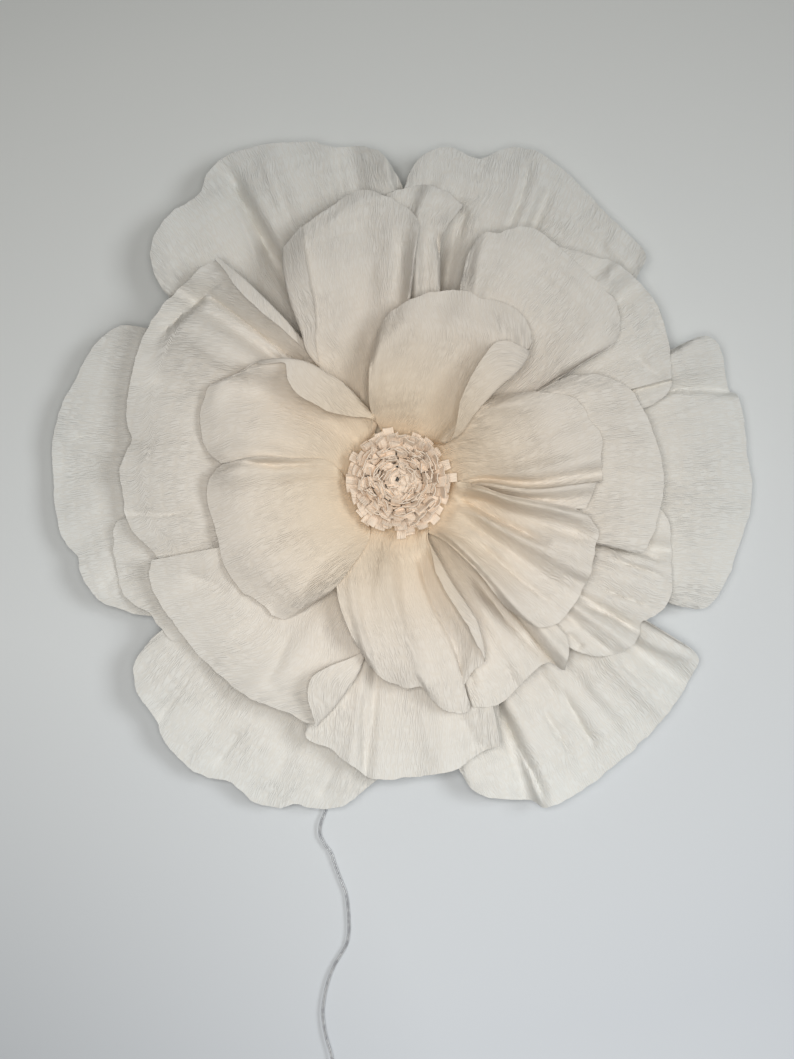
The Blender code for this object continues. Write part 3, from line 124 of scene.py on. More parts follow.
# A petal is a patch between four edges: its neck on the disc, its two sides and its rim. Going
# clockwise, "before" is the side reached first and "after" the side reached last. Points are
# (x, z) as the viewer sees them; a side lists only the points between the neck and the rim.
#   rise     height gained from the neck to the rim, and bow how soon it is gained
#   cup      how far both sides stand forward of the middle; tilt lifts "after" over "before"
#   lip      how far the rim turns back to the wall
#   folds    (place across 0..1, height, width, from, to) with from and to along the petal
#   pleats   sawtooth creases: (place across, height, run-out, from, to)
#   hooks    edges turned over to the front: side, roll radius, turn, and (place, width) stations
#   creases  (line of points, height, width, skew to one side, fade at each end, softness)
PETALS = [
    entry("back_petal_left", BACK, clock=272, rise=30, cup=8, lip=10,
        before=[(-190, -80)], after=[(-190, 105)],
        rim=[(-240, -134), (-270, -130), (-292, -121), (-309, -107), (-318, -88), (-320, -75),
            (-333, -60), (-341, -36), (-345, 2), (-346, 37), (-340, 67), (-330, 90), (-322, 104),
            (-312, 124), (-296, 146), (-276, 157), (-250, 154)],
        folds=[(0.25, 5, 0.07, 0.5, 1.0), (0.52, -4, 0.04, 0.4, 0.9), (0.78, 4, 0.08, 0.4, 1.0)],
        creases=[([(-330, 46), (-300, 45), (-270, 40)], -4, 2.8, 0.4),
            ([(-338, -38), (-288, -18)], 1.55, 7.65), ([(-298, -108), (-270, -78)], -3, 5.6)]),
    entry("back_petal_top_left", BACK, clock=334, rise=36, cup=10, lip=5, tilt=-4,
        before=[(-150, 120)], after=[(10, 180)],
        rim=[(-228, 184), (-244, 210), (-246, 242), (-228, 268), (-200, 288), (-190, 310), (-173, 326),
            (-143, 336), (-98, 341), (-63, 336), (-30, 335), (-10, 322), (6, 292)],
        folds=[(0.44, -9, 0.035, 0.35, 0.95), (0.485, 6, 0.03, 0.35, 0.8), (0.6, 6, 0.05, 0.3, 1.0),
            (0.8, -6, 0.03, 0.45, 1.0), (0.9, 7, 0.06, 0.5, 1.0)],
        creases=[([(-172, 318), (-158, 287), (-136, 242), (-124, 218)], -8, 4.8, 0.5),
            ([(-162, 278), (-140, 218)], 3.1, 4.25, 0.4),
            ([(-136, 330), (-123, 292), (-108, 244)], 3.72, 6.8, -0.6),
            ([(-62, 334), (-54, 278)], -5, 4.8, 0.4), ([(-18, 322), (-3, 304)], 3.1, 6.8)]),
    entry("back_petal_top_right", BACK, clock=27, rise=36, cup=8, lip=4, tilt=-6,
        before=[(8, 180)], after=[(165, 130)],
        rim=[(5, 290), (14, 314), (32, 332), (54, 334), (80, 324), (102, 332), (130, 334), (154, 322),
            (182, 297), (214, 264), (247, 230), (243, 214), (235, 200)],
        folds=[(0.12, -8, 0.03, 0.2, 0.75), (0.19, 6, 0.03, 0.2, 0.8), (0.26, -8, 0.03, 0.2, 0.75),
            (0.5, 9, 0.06, 0.3, 1.0), (0.55, -8, 0.025, 0.3, 0.85), (0.93, 8, 0.05, 0.6, 1.0)],
        creases=[([(131, 322), (122, 282), (108, 250)], -7, 6.4, 0.7),
            ([(204, 242), (232, 214)], 4.34, 5.95, 0.5), ([(70, 277), (60, 242)], -5, 4),
            ([(162, 282), (202, 220)], 1.86, 7.65)]),
    entry("back_petal_right", BACK, clock=88, rise=32, cup=6, lip=8, tilt=-6,
        before=[(190, 80)], after=[(180, -75)],
        rim=[(271, 132), (292, 142), (308, 147), (321, 137), (327, 114), (330, 92), (339, 87),
            (346, 62), (349, 32), (354, -3), (350, -36), (340, -66), (328, -100), (314, -120),
            (297, -126), (262, -118)],
        folds=[(0.1, 9, 0.08, 0.6, 1.0), (0.62, -4, 0.05, 0.5, 1.0), (0.8, 4, 0.06, 0.5, 1.0)],
        creases=[([(238, 70), (256, 84), (276, 92), (306, 92), (344, 88)], -9, 6.4, 0.7, (0.2, 0.05)),
            ([(292, 132), (318, 130)], 2.48, 6.8), ([(270, 12), (322, 8)], -3, 5.6),
            ([(272, -63), (326, -78)], 1.86, 7.65)]),
    entry("back_petal_bottom_right", BACK, clock=141, rise=30, cup=4, lip=6,
        before=[(150, -75)], after=[(48, -190)],
        rim=[(245, -138), (274, -154), (300, -173), (295, -190), (286, -208), (273, -226), (262, -240),
            (242, -261), (217, -283), (187, -306), (151, -325), (134, -318), (102, -317), (80, -311),
            (69, -300), (61, -287)],
        folds=[(0.12, 8, 0.04, 0.5, 1.0), (0.25, -11, 0.035, 0.45, 1.0), (0.33, 6, 0.04, 0.5, 1.0),
            (0.47, -5, 0.03, 0.4, 0.85), (0.56, -5, 0.03, 0.4, 0.85), (0.72, 12, 0.05, 0.35, 1.0),
            (0.79, -10, 0.035, 0.4, 1.0)],
        creases=[([(100, -224), (124, -270), (151, -324)], -12, 7.2, 0.6),
            ([(94, -234), (110, -278), (126, -318)], 3.72, 5.95, -0.4),
            ([(142, -223), (158, -250), (176, -278)], -6, 4, 0.5),
            ([(162, -204), (178, -234), (198, -268)], -7, 4.8, 0.5),
            ([(186, -198), (208, -218), (220, -230)], 2.48, 5.1),
            ([(214, -170), (244, -202), (278, -232)], -7, 5.6, 0.5),
            ([(236, -156), (266, -168), (300, -178)], 4.96, 5.95, 0.5)]),
    entry("back_petal_bottom_left", BACK, clock=211, rise=34, cup=10, lip=12, tilt=4,
        before=[(-14, -190)], after=[(-150, -95)],
        rim=[(-18, -294), (-28, -302), (-44, -316), (-63, -326), (-88, -325), (-101, -321),
            (-120, -324), (-140, -321), (-158, -308), (-170, -298), (-193, -294), (-218, -277),
            (-235, -255), (-242, -237), (-258, -215), (-265, -195), (-260, -174), (-240, -150)],
        folds=[(0.13, 5, 0.05, 0.5, 1.0), (0.34, -4, 0.04, 0.45, 1.0), (0.6, -4, 0.03, 0.4, 0.95),
            (0.78, 7, 0.05, 0.4, 1.0)],
        creases=[([(-242, -242), (-220, -210), (-196, -178)], -5, 5.6, 0.5),
            ([(-184, -286), (-156, -246)], -4, 4.8, 0.3), ([(-136, -308), (-118, -258)], 1.86, 6.8),
            ([(-80, -318), (-58, -278)], -3, 4.8)]),
    entry("outer_petal_left", OUTER, clock=250, rise=26, cup=6, lip=8,
        before=[(-130, -110)], after=[(-160, -30)],
        rim=[(-205, -160), (-226, -158), (-238, -146), (-248, -131), (-265, -121), (-276, -108),
            (-281, -86), (-285, -58), (-281, -40), (-266, -32)],
        folds=[(0.35, 4, 0.06, 0.5, 1.0), (0.6, -5, 0.05, 0.5, 1.0)],
        creases=[([(-270, -78), (-238, -93)], 1.86, 5.95), ([(-258, -118), (-228, -128)], -3, 4.8)]),
    entry("outer_petal_top", OUTER, clock=8, rise=44, cup=6, lip=12,
        before=[(-22, 170)], after=[(40, 150), (42, 200), (44, 245)],
        rim=[(-26, 275), (-7, 290), (7, 294), (22, 297), (36, 296), (49, 290), (65, 277)],
        folds=[(0.62, 8, 0.08, 0.4, 0.95), (0.35, -6, 0.07, 0.3, 0.8)],
        creases=[([(38, 254), (42, 220), (43, 186)], -12, 4, 0.5),
            ([(26, 270), (18, 232), (13, 182)], 3.1, 5.1, 0.4),
            ([(62, 266), (54, 232), (48, 190)], 3.72, 4.25, -0.4),
            ([(2, 286), (46, 288), (64, 276)], 1.86, 5.95)]),
    entry("outer_petal_upper_right", OUTER, clock=58, rise=38, cup=6, lip=4, tilt=-4,
        before=[(105, 150)], after=[(150, 55)],
        rim=[(158, 235), (177, 232), (194, 226), (210, 223), (224, 215), (238, 204), (252, 188),
            (263, 170), (269, 147), (273, 110), (271, 92), (257, 80), (240, 72)],
        folds=[(0.28, 7, 0.05, 0.6, 1.0), (0.38, -6, 0.05, 0.6, 1.0), (0.62, -4, 0.06, 0.6, 1.0)],
        pleats=[(0.8, -8, 0.08, 0.6, 1.0)],
        creases=[([(214, 220), (208, 182)], 3.72, 5.1, 0.5),
            ([(242, 214), (254, 182), (266, 142)], -5, 5.6, 0.4),
            ([(234, 130), (252, 112), (270, 104)], -5, 4.8)]),
    entry("outer_petal_lower_right", OUTER, clock=115, rise=30, cup=4, lip=5,
        before=[(150, -22)], after=[(110, -105)],
        rim=[(262, -25), (271, -41), (273, -63), (274, -88), (273, -110), (265, -127), (254, -135),
            (243, -141), (242, -152), (236, -161), (220, -170), (202, -175), (185, -171), (169, -163)],
        folds=[(0.2, -7, 0.035, 0.55, 1.0), (0.3, 5, 0.05, 0.5, 1.0), (0.62, -6, 0.03, 0.5, 1.0),
            (0.7, 6, 0.03, 0.5, 1.0), (0.78, -5, 0.03, 0.5, 1.0)],
        creases=[([(200, -58), (242, -71), (271, -82)], -7, 4, 0.6),
            ([(188, -90), (222, -98), (258, -108)], 2.48, 4.25),
            ([(182, -122), (214, -134), (242, -152)], -7, 4, 0.6),
            ([(174, -138), (198, -152), (220, -170)], 3.1, 4.25), ([(168, -150), (186, -166)], -5, 4),
            ([(196, -104), (232, -118), (262, -128)], -5, 2.8, 0.6),
            ([(206, -74), (236, -84), (268, -96)], -5, 2.8, 0.6)]),
    entry("outer_petal_bottom", OUTER, clock=161, rise=24, cup=3, lip=3, narrow=0.6,
        before=[(80, -140)], after=[(52, -160)],
        rim=[(101, -222), (103, -245), (103, -265), (93, -263), (85, -256), (76, -242), (69, -226)],
        folds=[(0.5, 6, 0.12, 0.5, 1.0)],
        creases=[([(76, -228), (96, -263)], 3.1, 4.25, 0.4), ([(86, -226), (102, -260)], -4, 3.2)]),
    entry("middle_petal_bottom", MIDDLE, clock=186, rise=34, cup=8, lip=8,
        before=[(60, -140), (92, -215)], after=[(-62, -140)],
        rim=[(102, -263), (89, -267), (75, -275), (61, -286), (42, -291), (12, -295), (-22, -296),
            (-40, -288), (-58, -275), (-68, -265), (-83, -260), (-92, -254), (-90, -238)],
        folds=[(0.28, 4, 0.07, 0.4, 1.0), (0.62, -5, 0.03, 0.45, 1.0), (0.7, 4, 0.04, 0.4, 1.0)],
        creases=[([(-34, -204), (-36, -248), (-32, -294)], -5, 3.2, 0.4),
            ([(-58, -218), (-62, -268)], 1.86, 5.95), ([(22, -218), (34, -280)], 1.86, 6.8),
            ([(64, -230), (78, -262), (98, -266)], -4, 4.8)]),
    entry("middle_petal_upper_right", MIDDLE, clock=40, rise=46, cup=8, lip=7, tilt=-4,
        before=[(46, 110), (58, 165)], after=[(110, 70)],
        rim=[(64, 208), (72, 232), (86, 250), (100, 250), (114, 254), (129, 256), (144, 249),
            (162, 234), (182, 216), (202, 198), (218, 179), (222, 157), (216, 139), (200, 129),
            (178, 118), (156, 102)],
        folds=[(0.16, 7, 0.05, 0.3, 1.0), (0.55, -6, 0.1, 0.35, 0.9), (0.84, 8, 0.04, 0.4, 1.0),
            (0.9, -6, 0.03, 0.35, 0.9)],
        creases=[([(242, 146), (222, 137), (202, 127), (177, 114), (147, 94)], 5.58, 6.8, 0.6),
            ([(218, 120), (190, 108), (154, 86)], -6, 4.8), ([(80, 220), (76, 182)], 3.72, 5.1, 0.5),
            ([(118, 246), (162, 220), (202, 182)], 2.48, 6.8, 0.4),
            ([(122, 220), (168, 176), (188, 152)], -4, 8, 0.3),
            ([(102, 182), (142, 152)], 1.86, 10.2)]),
    entry("middle_petal_right", MIDDLE, clock=88, rise=40, cup=8, lip=4, tilt=-2,
        before=[(90, 62)], after=[(120, -44)],
        rim=[(160, 102), (179, 107), (200, 108), (218, 103), (232, 94), (241, 80), (250, 62), (258, 42),
            (264, 17), (265, -8), (262, -30), (255, -50), (245, -69), (224, -67), (200, -61)],
        folds=[(0.35, 5, 0.07, 0.4, 1.0), (0.62, -4, 0.06, 0.5, 1.0), (0.86, 6, 0.04, 0.5, 1.0)],
        creases=[([(208, 62), (258, 46)], 1.86, 6.8), ([(206, 12), (262, 6)], -3, 7.2),
            ([(198, -38), (252, -48)], 2.48, 5.95),
            ([(192, 110), (176, 90), (168, 82)], 3.1, 5.1, 0.5)]),
    entry("middle_petal_lower_right", MIDDLE, clock=138, rise=34, cup=4, lip=4,
        before=[(84, -66)], after=[(34, -92), (50, -150)],
        rim=[(148, -138), (164, -147), (171, -163), (167, -187), (150, -180), (128, -196), (104, -219),
            (78, -225), (70, -214), (64, -200)],
        folds=[(0.25, 7, 0.05, 0.4, 1.0), (0.36, -10, 0.04, 0.3, 1.0), (0.55, 5, 0.06, 0.4, 1.0),
            (0.72, -5, 0.05, 0.35, 1.0)],
        creases=[([(70, -88), (110, -140), (164, -194)], -9, 6.4, 0.5),
            ([(54, -90), (82, -150), (122, -212)], 3.1, 6.8, -0.3),
            ([(138, -158), (172, -178)], 2.48, 4.25, 0.4), ([(102, -178), (132, -224)], -4, 4, 0.3),
            ([(58, -158), (78, -208)], -5, 4.8)]),
    entry("middle_petal_left", MIDDLE, clock=284, rise=42, cup=10, lip=14, tilt=6,
        before=[(-110, -20)], after=[(-68, 85), (-83, 119), (-108, 154), (-148, 195)],
        rim=[(-180, -78), (-231, -93), (-235, -84), (-242, -73), (-248, -65), (-257, -59), (-265, -50),
            (-271, -38), (-274, -23), (-278, 7), (-276, 20), (-271, 32), (-266, 42), (-268, 52),
            (-271, 67), (-270, 87), (-266, 107), (-258, 137), (-243, 167), (-228, 185), (-208, 204),
            (-193, 217), (-181, 224)],
        folds=[(0.16, -4, 0.03, 0.4, 1.0), (0.46, 5, 0.06, 0.4, 1.0), (0.66, -5, 0.05, 0.35, 0.9),
            (0.8, 9, 0.05, 0.3, 1.0), (0.88, -12, 0.03, 0.25, 1.0)],
        hooks=[("after", 2.5, 162, [(0.32, 2), (0.5, 12), (0.7, 19), (0.85, 20), (0.96, 10)])],
        creases=[([(-248, 134), (-233, 150), (-218, 164), (-203, 177), (-191, 186), (-172, 174),
            (-155, 161), (-134, 145), (-113, 129), (-92, 116)], -15, 8.8, 0.78, (0.22, 0.04), 0.12),
            ([(-152, 192), (-122, 156), (-92, 124)], 3.1, 5.1),
            ([(-280, -32), (-240, -34), (-200, -30)], -5, 4, 0.6),
            ([(-248, -84), (-214, -86), (-176, -76)], -4, 4.8), ([(-266, 32), (-208, 38)], 1.86, 8.5),
            ([(-248, 102), (-202, 90)], -3, 6.4), ([(-202, 138), (-162, 110)], 1.86, 7.65)]),
    entry("middle_petal_lower_left", MIDDLE, clock=233, rise=38, cup=8, lip=10, tilt=-4,
        before=[(-46, -80), (-35, -130), (-36, -170), (-44, -192), (-62, -218)], after=[(-120, -50)],
        rim=[(-84, -243), (-96, -238), (-108, -231), (-123, -225), (-143, -218), (-163, -206),
            (-183, -188), (-198, -173), (-213, -155), (-228, -136), (-238, -120), (-245, -108),
            (-248, -92), (-246, -78)],
        folds=[(0.3, 5, 0.07, 0.4, 1.0), (0.55, -4, 0.06, 0.5, 1.0), (0.75, 5, 0.06, 0.4, 1.0)],
        hooks=[("before", 3.0, 166, [(0.54, 0), (0.65, 24), (0.74, 46), (0.82, 45), (0.91, 30),
            (1.0, 3)])],
        creases=[([(-150, -118), (-174, -158), (-192, -170)], 1.86, 7.65),
            ([(-106, -150), (-122, -186), (-136, -208)], -3, 6.4),
            ([(-218, -88), (-184, -102), (-166, -116)], -3, 5.6)]),
    entry("middle_petal_top_left", MIDDLE, clock=346, rise=52, cup=6, lip=14, bow=2.2,
        before=[(-60, 95), (-88, 130), (-95, 152), (-106, 182), (-113, 212)],
        after=[(5, 130), (13, 192)],
        rim=[(-114, 235), (-98, 254), (-76, 270), (-53, 285), (-32, 292), (-12, 286), (7, 276),
            (20, 260), (19, 240)],
        folds=[(0.55, -8, 0.16, 0.2, 0.85), (0.93, 10, 0.08, 0.3, 0.95)],
        hooks=[("before", 2.5, 165, [(0.36, 2), (0.46, 14), (0.57, 25), (0.73, 34), (0.88, 38),
            (1.0, 34)])],
        creases=[([(-76, 250), (-64, 262), (-49, 274), (-31, 281), (-10, 285)], 4.34, 6.8, 0.6,
            (0.2, 0.1), 0.15),
            ([(2, 257), (4, 202), (-2, 146)], -9, 9.6, 0.2),
            ([(-46, 260), (-20, 236), (-6, 232)], -3, 5.6), ([(-54, 220), (-26, 214)], 1.86, 6.8)]),
    entry("front_petal_right", FRONT, clock=76, rise=50, cup=-4, lip=10,
        before=[(62, 60), (76, 73)], after=[(82, -12), (130, -26)],
        rim=[(92, 85), (107, 88), (132, 90), (157, 89), (174, 85), (185, 76), (191, 64), (199, 55),
            (204, 42), (203, 22), (204, 2), (198, 0), (193, -15), (188, -26)],
        folds=[(0.72, 5, 0.05, 0.4, 1.0), (0.8, -9, 0.035, 0.2, 1.0), (0.88, 7, 0.04, 0.2, 1.0),
            (0.45, -5, 0.1, 0.5, 0.9)],
        creases=[([(72, 6), (132, 4), (202, 4)], 2.8, 5.95, -0.5),
            ([(60, -2), (112, -14), (168, -18), (202, -12)], -6, 4.8, 0.3),
            ([(62, 12), (122, 30), (192, 26)], -3, 11.2),
            ([(98, 80), (142, 78), (182, 58)], 1.86, 7.65)]),
    entry("front_petal_lower_right", FRONT, clock=122, rise=44, cup=2, lip=8,
        before=[(82, -4), (107, -12), (132, -17)], after=[(48, -60), (78, -88), (104, -120)],
        rim=[(177, -26), (192, -36), (200, -48), (198, -63), (195, -78), (192, -93), (184, -108),
            (175, -123), (165, -136), (154, -143), (142, -145), (130, -140), (117, -131)],
        folds=[(0.08, 6, 0.05, 0.1, 1.0), (0.22, -12, 0.06, 0.1, 0.85), (0.42, 8, 0.05, 0.2, 1.0),
            (0.56, -6, 0.05, 0.2, 0.95), (0.85, 10, 0.08, 0.1, 1.0)],
        creases=[([(54, -12), (102, -38), (150, -64)], -11, 5.6, 0.55, (0.1, 0.25)),
            ([(48, -28), (86, -54), (124, -80)], 4.34, 5.95, -0.4, (0.1, 0.25)),
            ([(72, -54), (122, -98), (164, -130)], -7, 5.6, 0.5),
            ([(32, -48), (82, -94), (134, -140)], 3.72, 6.8), ([(146, -58), (194, -66)], 3.1, 5.1),
            ([(162, -90), (194, -104)], -4, 4.8)]),
    entry("front_petal_bottom", FRONT, clock=180, rise=50, cup=6, lip=8,
        before=[(27, -56), (39, -78), (52, -101), (67, -123), (77, -140), (83, -160)],
        after=[(-42, -58), (-60, -84), (-60, -116), (-48, -150)],
        rim=[(86, -180), (76, -187), (68, -198), (66, -208), (72, -224), (62, -230), (48, -228),
            (36, -219), (26, -206), (20, -203), (10, -205), (-4, -201), (-17, -195), (-28, -183),
            (-36, -169)],
        folds=[(0.18, -10, 0.1, 0.2, 0.85), (0.55, 8, 0.1, 0.2, 0.9), (0.86, 5, 0.05, 0.3, 1.0)],
        hooks=[("before", 2.0, 150, [(0.08, 3), (0.3, 14), (0.6, 17), (0.85, 14), (1.0, 3)])],
        creases=[([(26, -64), (42, -104), (70, -148), (80, -174)], -9, 7.2, -0.6, (0.1, 0.2)),
            ([(-14, -58), (-22, -118), (-12, -168)], 3.1, 8.5),
            ([(4, -63), (6, -128), (14, -182)], -3, 6.4),
            ([(-42, -90), (-40, -128), (-34, -170)], 2.48, 4.25, 0.4)]),
    entry("front_petal_top", FRONT, clock=14, rise=56, cup=3, lip=13,
        before=[(-28, 75), (-29, 110)], after=[(58, 48), (76, 72), (98, 96), (117, 112), (128, 126)],
        rim=[(-25, 132), (-19, 153), (-6, 171), (14, 183), (39, 191), (65, 192), (87, 184), (107, 179),
            (122, 170), (131, 156), (134, 142)],
        folds=[(0.12, 4, 0.06, 0.3, 1.0), (0.45, -4, 0.1, 0.4, 0.9), (0.7, -5, 0.12, 0.05, 0.7)],
        hooks=[("after", 3.0, 168, [(0.06, 5), (0.19, 15), (0.39, 31), (0.61, 43), (0.72, 46),
            (0.82, 30), (0.92, 9), (1.0, 2)])],
        creases=[([(92, 138), (68, 114), (59, 92), (51, 44)], -5, 9.6, -0.6),
            ([(-14, 110), (-6, 72)], 1.86, 6.8), ([(2, 186), (12, 152)], 1.55, 6.8)]),
    entry("front_petal_upper_left", FRONT, clock=300, rise=48, cup=6, lip=10, tilt=4,
        before=[(-66, 12), (-104, 18), (-142, 24)],
        after=[(-26, 62), (-52, 93), (-74, 108), (-90, 117), (-104, 121), (-122, 122), (-142, 119)],
        rim=[(-177, 19), (-187, 27), (-194, 40), (-197, 60), (-195, 80), (-190, 96), (-176, 103),
            (-164, 107), (-154, 113)],
        folds=[(0.6, -10, 0.16, 0.15, 0.8), (0.1, 4, 0.08, 0.3, 0.9)],
        hooks=[("after", 3.0, 158, [(0.08, 6), (0.2, 28), (0.34, 42), (0.52, 44), (0.64, 34), (0.72, 8),
            (0.78, 16), (0.86, 18), (0.95, 4)])],
        creases=[([(-160, 102), (-128, 90), (-68, 54)], -5, 11.2),
            ([(-193, 62), (-148, 54), (-68, 38)], 1.55, 7.65), ([(-153, 114), (-146, 94)], 1.86, 5.1)]),
    entry("front_petal_lower_left", FRONT, clock=243, rise=46, cup=-6, lip=12, tilt=4,
        before=[(-30, -60), (-45, -82), (-62, -104)], after=[(-72, 22), (-108, 24), (-138, 26)],
        rim=[(-80, -119), (-98, -130), (-112, -136), (-124, -134), (-132, -124), (-142, -116),
            (-153, -111), (-158, -106), (-168, -93), (-176, -78), (-179, -63), (-182, -46), (-187, -33),
            (-191, -18), (-190, -1), (-185, 9), (-176, 17), (-160, 23)],
        folds=[(0.22, -5, 0.06, 0.4, 0.95), (0.4, 5, 0.1, 0.4, 1.0), (0.93, -6, 0.04, 0.3, 1.0)],
        creases=[([(-158, 22), (-136, 19), (-114, 14)], -3.5, 3.2), ([(-116, -2), (-104, -3)], -2, 2.4),
            ([(-166, -98), (-118, -74), (-58, -38)], 1.55, 8.5),
            ([(-136, -130), (-98, -88)], -2.5, 6.4)]),
]


def clock_direction(angle):
    """Outwards along a clock angle, as (x, z)."""
    turn = math.radians(angle)
    return np.array([math.sin(turn), math.cos(turn)])


def clock_tangent(angle):
    """Clockwise along the circle at a clock angle, as (x, z)."""
    turn = math.radians(angle)
    return np.array([math.cos(turn), -math.sin(turn)])


def ease(value, low, high):
    """0 below low, 1 above high, and a smooth step between."""
    share = np.clip((value - low) / (high - low), 0.0, 1.0)
    return share * share * (3.0 - 2.0 * share)


def through(points, count):
    """A smooth curve through the points (Catmull-Rom), as count points evenly spaced along it."""
    knots = np.array(points, float)
    knots = np.vstack([2 * knots[0] - knots[1], knots, 2 * knots[-1] - knots[-2]])
    steps = np.linspace(0.0, 1.0, 12, endpoint=False)[:, None]
    spans = []
    for a, b, c, d in zip(knots, knots[1:], knots[2:], knots[3:]):
        spans.append(0.5 * (2 * b + (c - a) * steps + (2 * a - 5 * b + 4 * c - d) * steps**2
                            + (3 * b - a - 3 * c + d) * steps**3))
    fine = np.vstack([*spans, knots[-2:-1]])
    along = np.concatenate([[0.0], np.cumsum(np.linalg.norm(np.diff(fine, axis=0), axis=1))])
    wanted = np.linspace(0.0, along[-1], count)
    return np.stack([np.interp(wanted, along, fine[:, k]) for k in range(fine.shape[1])], axis=1)


class Pile:
    """The front of everything laid so far, as a map of heights over the wall."""

    CELL = 2.0
    REACH = 380.0

    def __init__(self):
        size = int(2 * self.REACH / self.CELL) + 1
        self.top = np.zeros((size, size))

    def cells(self, places):
        """Row and column of the map under each (x, z)."""
        index = np.rint((places + self.REACH) / self.CELL).astype(int)
        return tuple(np.clip(index, 0, len(self.top) - 1).T)

    @staticmethod
    def spread(sheet, faces, fineness):
        """Points all over each triangle of a sheet of (x, z, height), and how much its slope thickens it."""
        share = [(i / fineness, j / fineness) for i in range(fineness + 1) for j in range(fineness + 1 - i)]
        weights = np.array([(1 - a - b, a, b) for a, b in share])
        corners = sheet[faces]
        normal = np.cross(corners[:, 1] - corners[:, 0], corners[:, 2] - corners[:, 0])
        steepness = np.abs(normal[:, 2]) / np.maximum(np.linalg.norm(normal, axis=1), 1e-9)
        half = PAPER / 2 / np.maximum(steepness, 0.2)
        return np.einsum("kc,fcx->fkx", weights, corners), half

    def lack(self, sheet, faces, fineness):
        """How far each triangle must come forward to clear what lies under it."""
        points, half = self.spread(sheet, faces, fineness)
        under = self.top[self.cells(points[..., :2].reshape(-1, 2))].reshape(points.shape[:2])
        return np.maximum((under + LAY_GAP - points[..., 2]).max(axis=1) + half, 0.0)

    def add(self, sheet, faces, fineness):
        """Raises the map to the front of a sheet."""
        points, half = self.spread(sheet, faces, fineness)
        front = points[..., 2] + half[:, None]
        np.maximum.at(self.top, self.cells(points[..., :2].reshape(-1, 2)), front.ravel())


def neck_corners(petal, radius, half):
    """The two ends of the petal's edge at a radius on its disc, clockwise."""
    outward = clock_direction(petal["clock"]) * radius
    sideways = clock_tangent(petal["clock"]) * half * petal["narrow"]
    return outward - sideways, outward + sideways


def patch(petal, across, along, half):
    """The petal's outline filled with a grid of (x, z): a patch blended from its four edges."""
    neck_before, neck_after = neck_corners(petal, petal["layer"].tab_outer, half)
    rim = through(petal["rim"], across + 1)
    before = through([neck_before, *petal["before"], petal["rim"][0]], along + 1)
    after = through([neck_after, *petal["after"], petal["rim"][-1]], along + 1)
    s = np.linspace(0.0, 1.0, across + 1)[None, :, None]
    t = np.linspace(0.0, 1.0, along + 1)[:, None, None]
    neck = neck_before + (neck_after - neck_before) * s
    sides = (1 - s) * before[:, None] + s * after[:, None]
    ends = (1 - t) * neck + t * rim[None]
    corners = ((1 - s) * (1 - t) * neck_before + s * (1 - t) * neck_after
               + (1 - s) * t * rim[0] + s * t * rim[-1])
    return sides + ends - corners


def window(t, start, end):
    """1 between start and end along the petal, fading to 0 outside."""
    return ease(t, max(start - 0.15, 0.0), start + 0.15) * (1.0 - ease(t, end, end + 0.15))


def form(petal, s, t):
    """Height of the petal's middle surface at s across and t along, before it is laid over others."""
    height = petal["layer"].level + petal["rise"] * (1.0 - (1.0 - t) ** petal["bow"])
    height = height + petal["cup"] * (2 * s - 1) ** 2 * t + petal["tilt"] * (2 * s - 1) * t
    height = height - petal["lip"] * ease(t, 0.70, 1.15) * 1.5
    for place, depth, width, start, end in petal["folds"]:
        height = height + depth * np.exp(-(((s - place) / width) ** 2)) * window(t, start, end)
    for place, depth, run_out, start, end in petal["pleats"]:
        ahead = np.maximum(s - place, 0.0)
        height = height + depth * (s > place) * np.exp(-ahead / run_out) * window(t, start, end)
    return height


def seen_to_real(places, height, t):
    """Draws points in towards the line of sight, so that from the viewing distance they look as measured."""
    eye = np.array([0.0, -VIEWING_DROP])
    share = (height / VIEWING_DISTANCE * np.minimum(3.0 * t, 1.0))[..., None]
    return places + (eye - places) * share


def grid_faces(rows, columns):
    """Triangles of a grid of rows x columns points, turned to face the viewer."""
    index = np.arange(rows * columns).reshape(rows, columns)
    a, b, c, d = (part.ravel() for part in (index[:-1, :-1], index[:-1, 1:], index[1:, 1:], index[1:, :-1]))
    return np.vstack([np.stack([a, b, c], axis=1), np.stack([a, c, d], axis=1)])


def soften(lift):
    """Each point's lift evened out with its neighbours', never below what it needs."""
    padded = np.pad(lift, 1, mode="edge")
    mean = (padded[:-2, 1:-1] + padded[2:, 1:-1] + padded[1:-1, :-2] + padded[1:-1, 2:]) / 4
    return np.maximum(lift, mean)


def coarse_lay(petal, pile):
    """How far each point of a coarse petal is lifted so that it clears the pile it is laid over."""
    across, along = COARSE_ACROSS, COARSE_ALONG
    seen = patch(petal, across, along, petal["layer"].outer_half)
    t, s = np.meshgrid(np.linspace(0, 1, along + 1), np.linspace(0, 1, across + 1), indexing="ij")
    height = form(petal, s, t)
    faces = grid_faces(along + 1, across + 1)
    fineness = max(3, int(round(PETAL_LENGTH / along / Pile.CELL)))
    lift = np.zeros_like(height)
    for _ in range(COARSE_ROUNDS):
        real = seen_to_real(seen, height + lift, t)
        sheet = np.concatenate([real, (height + lift)[..., None]], axis=2)
        lack = pile.lack(sheet.reshape(-1, 3), faces, fineness)
        if lack.max() < 0.01:
            break
        need = np.zeros(lift.size)
        for corner in range(3):
            np.maximum.at(need, faces[:, corner], lack)
        lift = lift + need.reshape(lift.shape)
        lift[0] = 0.0
        lift = soften(lift)
        lift[0] = 0.0
    real = seen_to_real(seen, height + lift, t)
    sheet = np.concatenate([real, (height + lift)[..., None]], axis=2)
    pile.add(sheet.reshape(-1, 3), faces, fineness)
    return lift


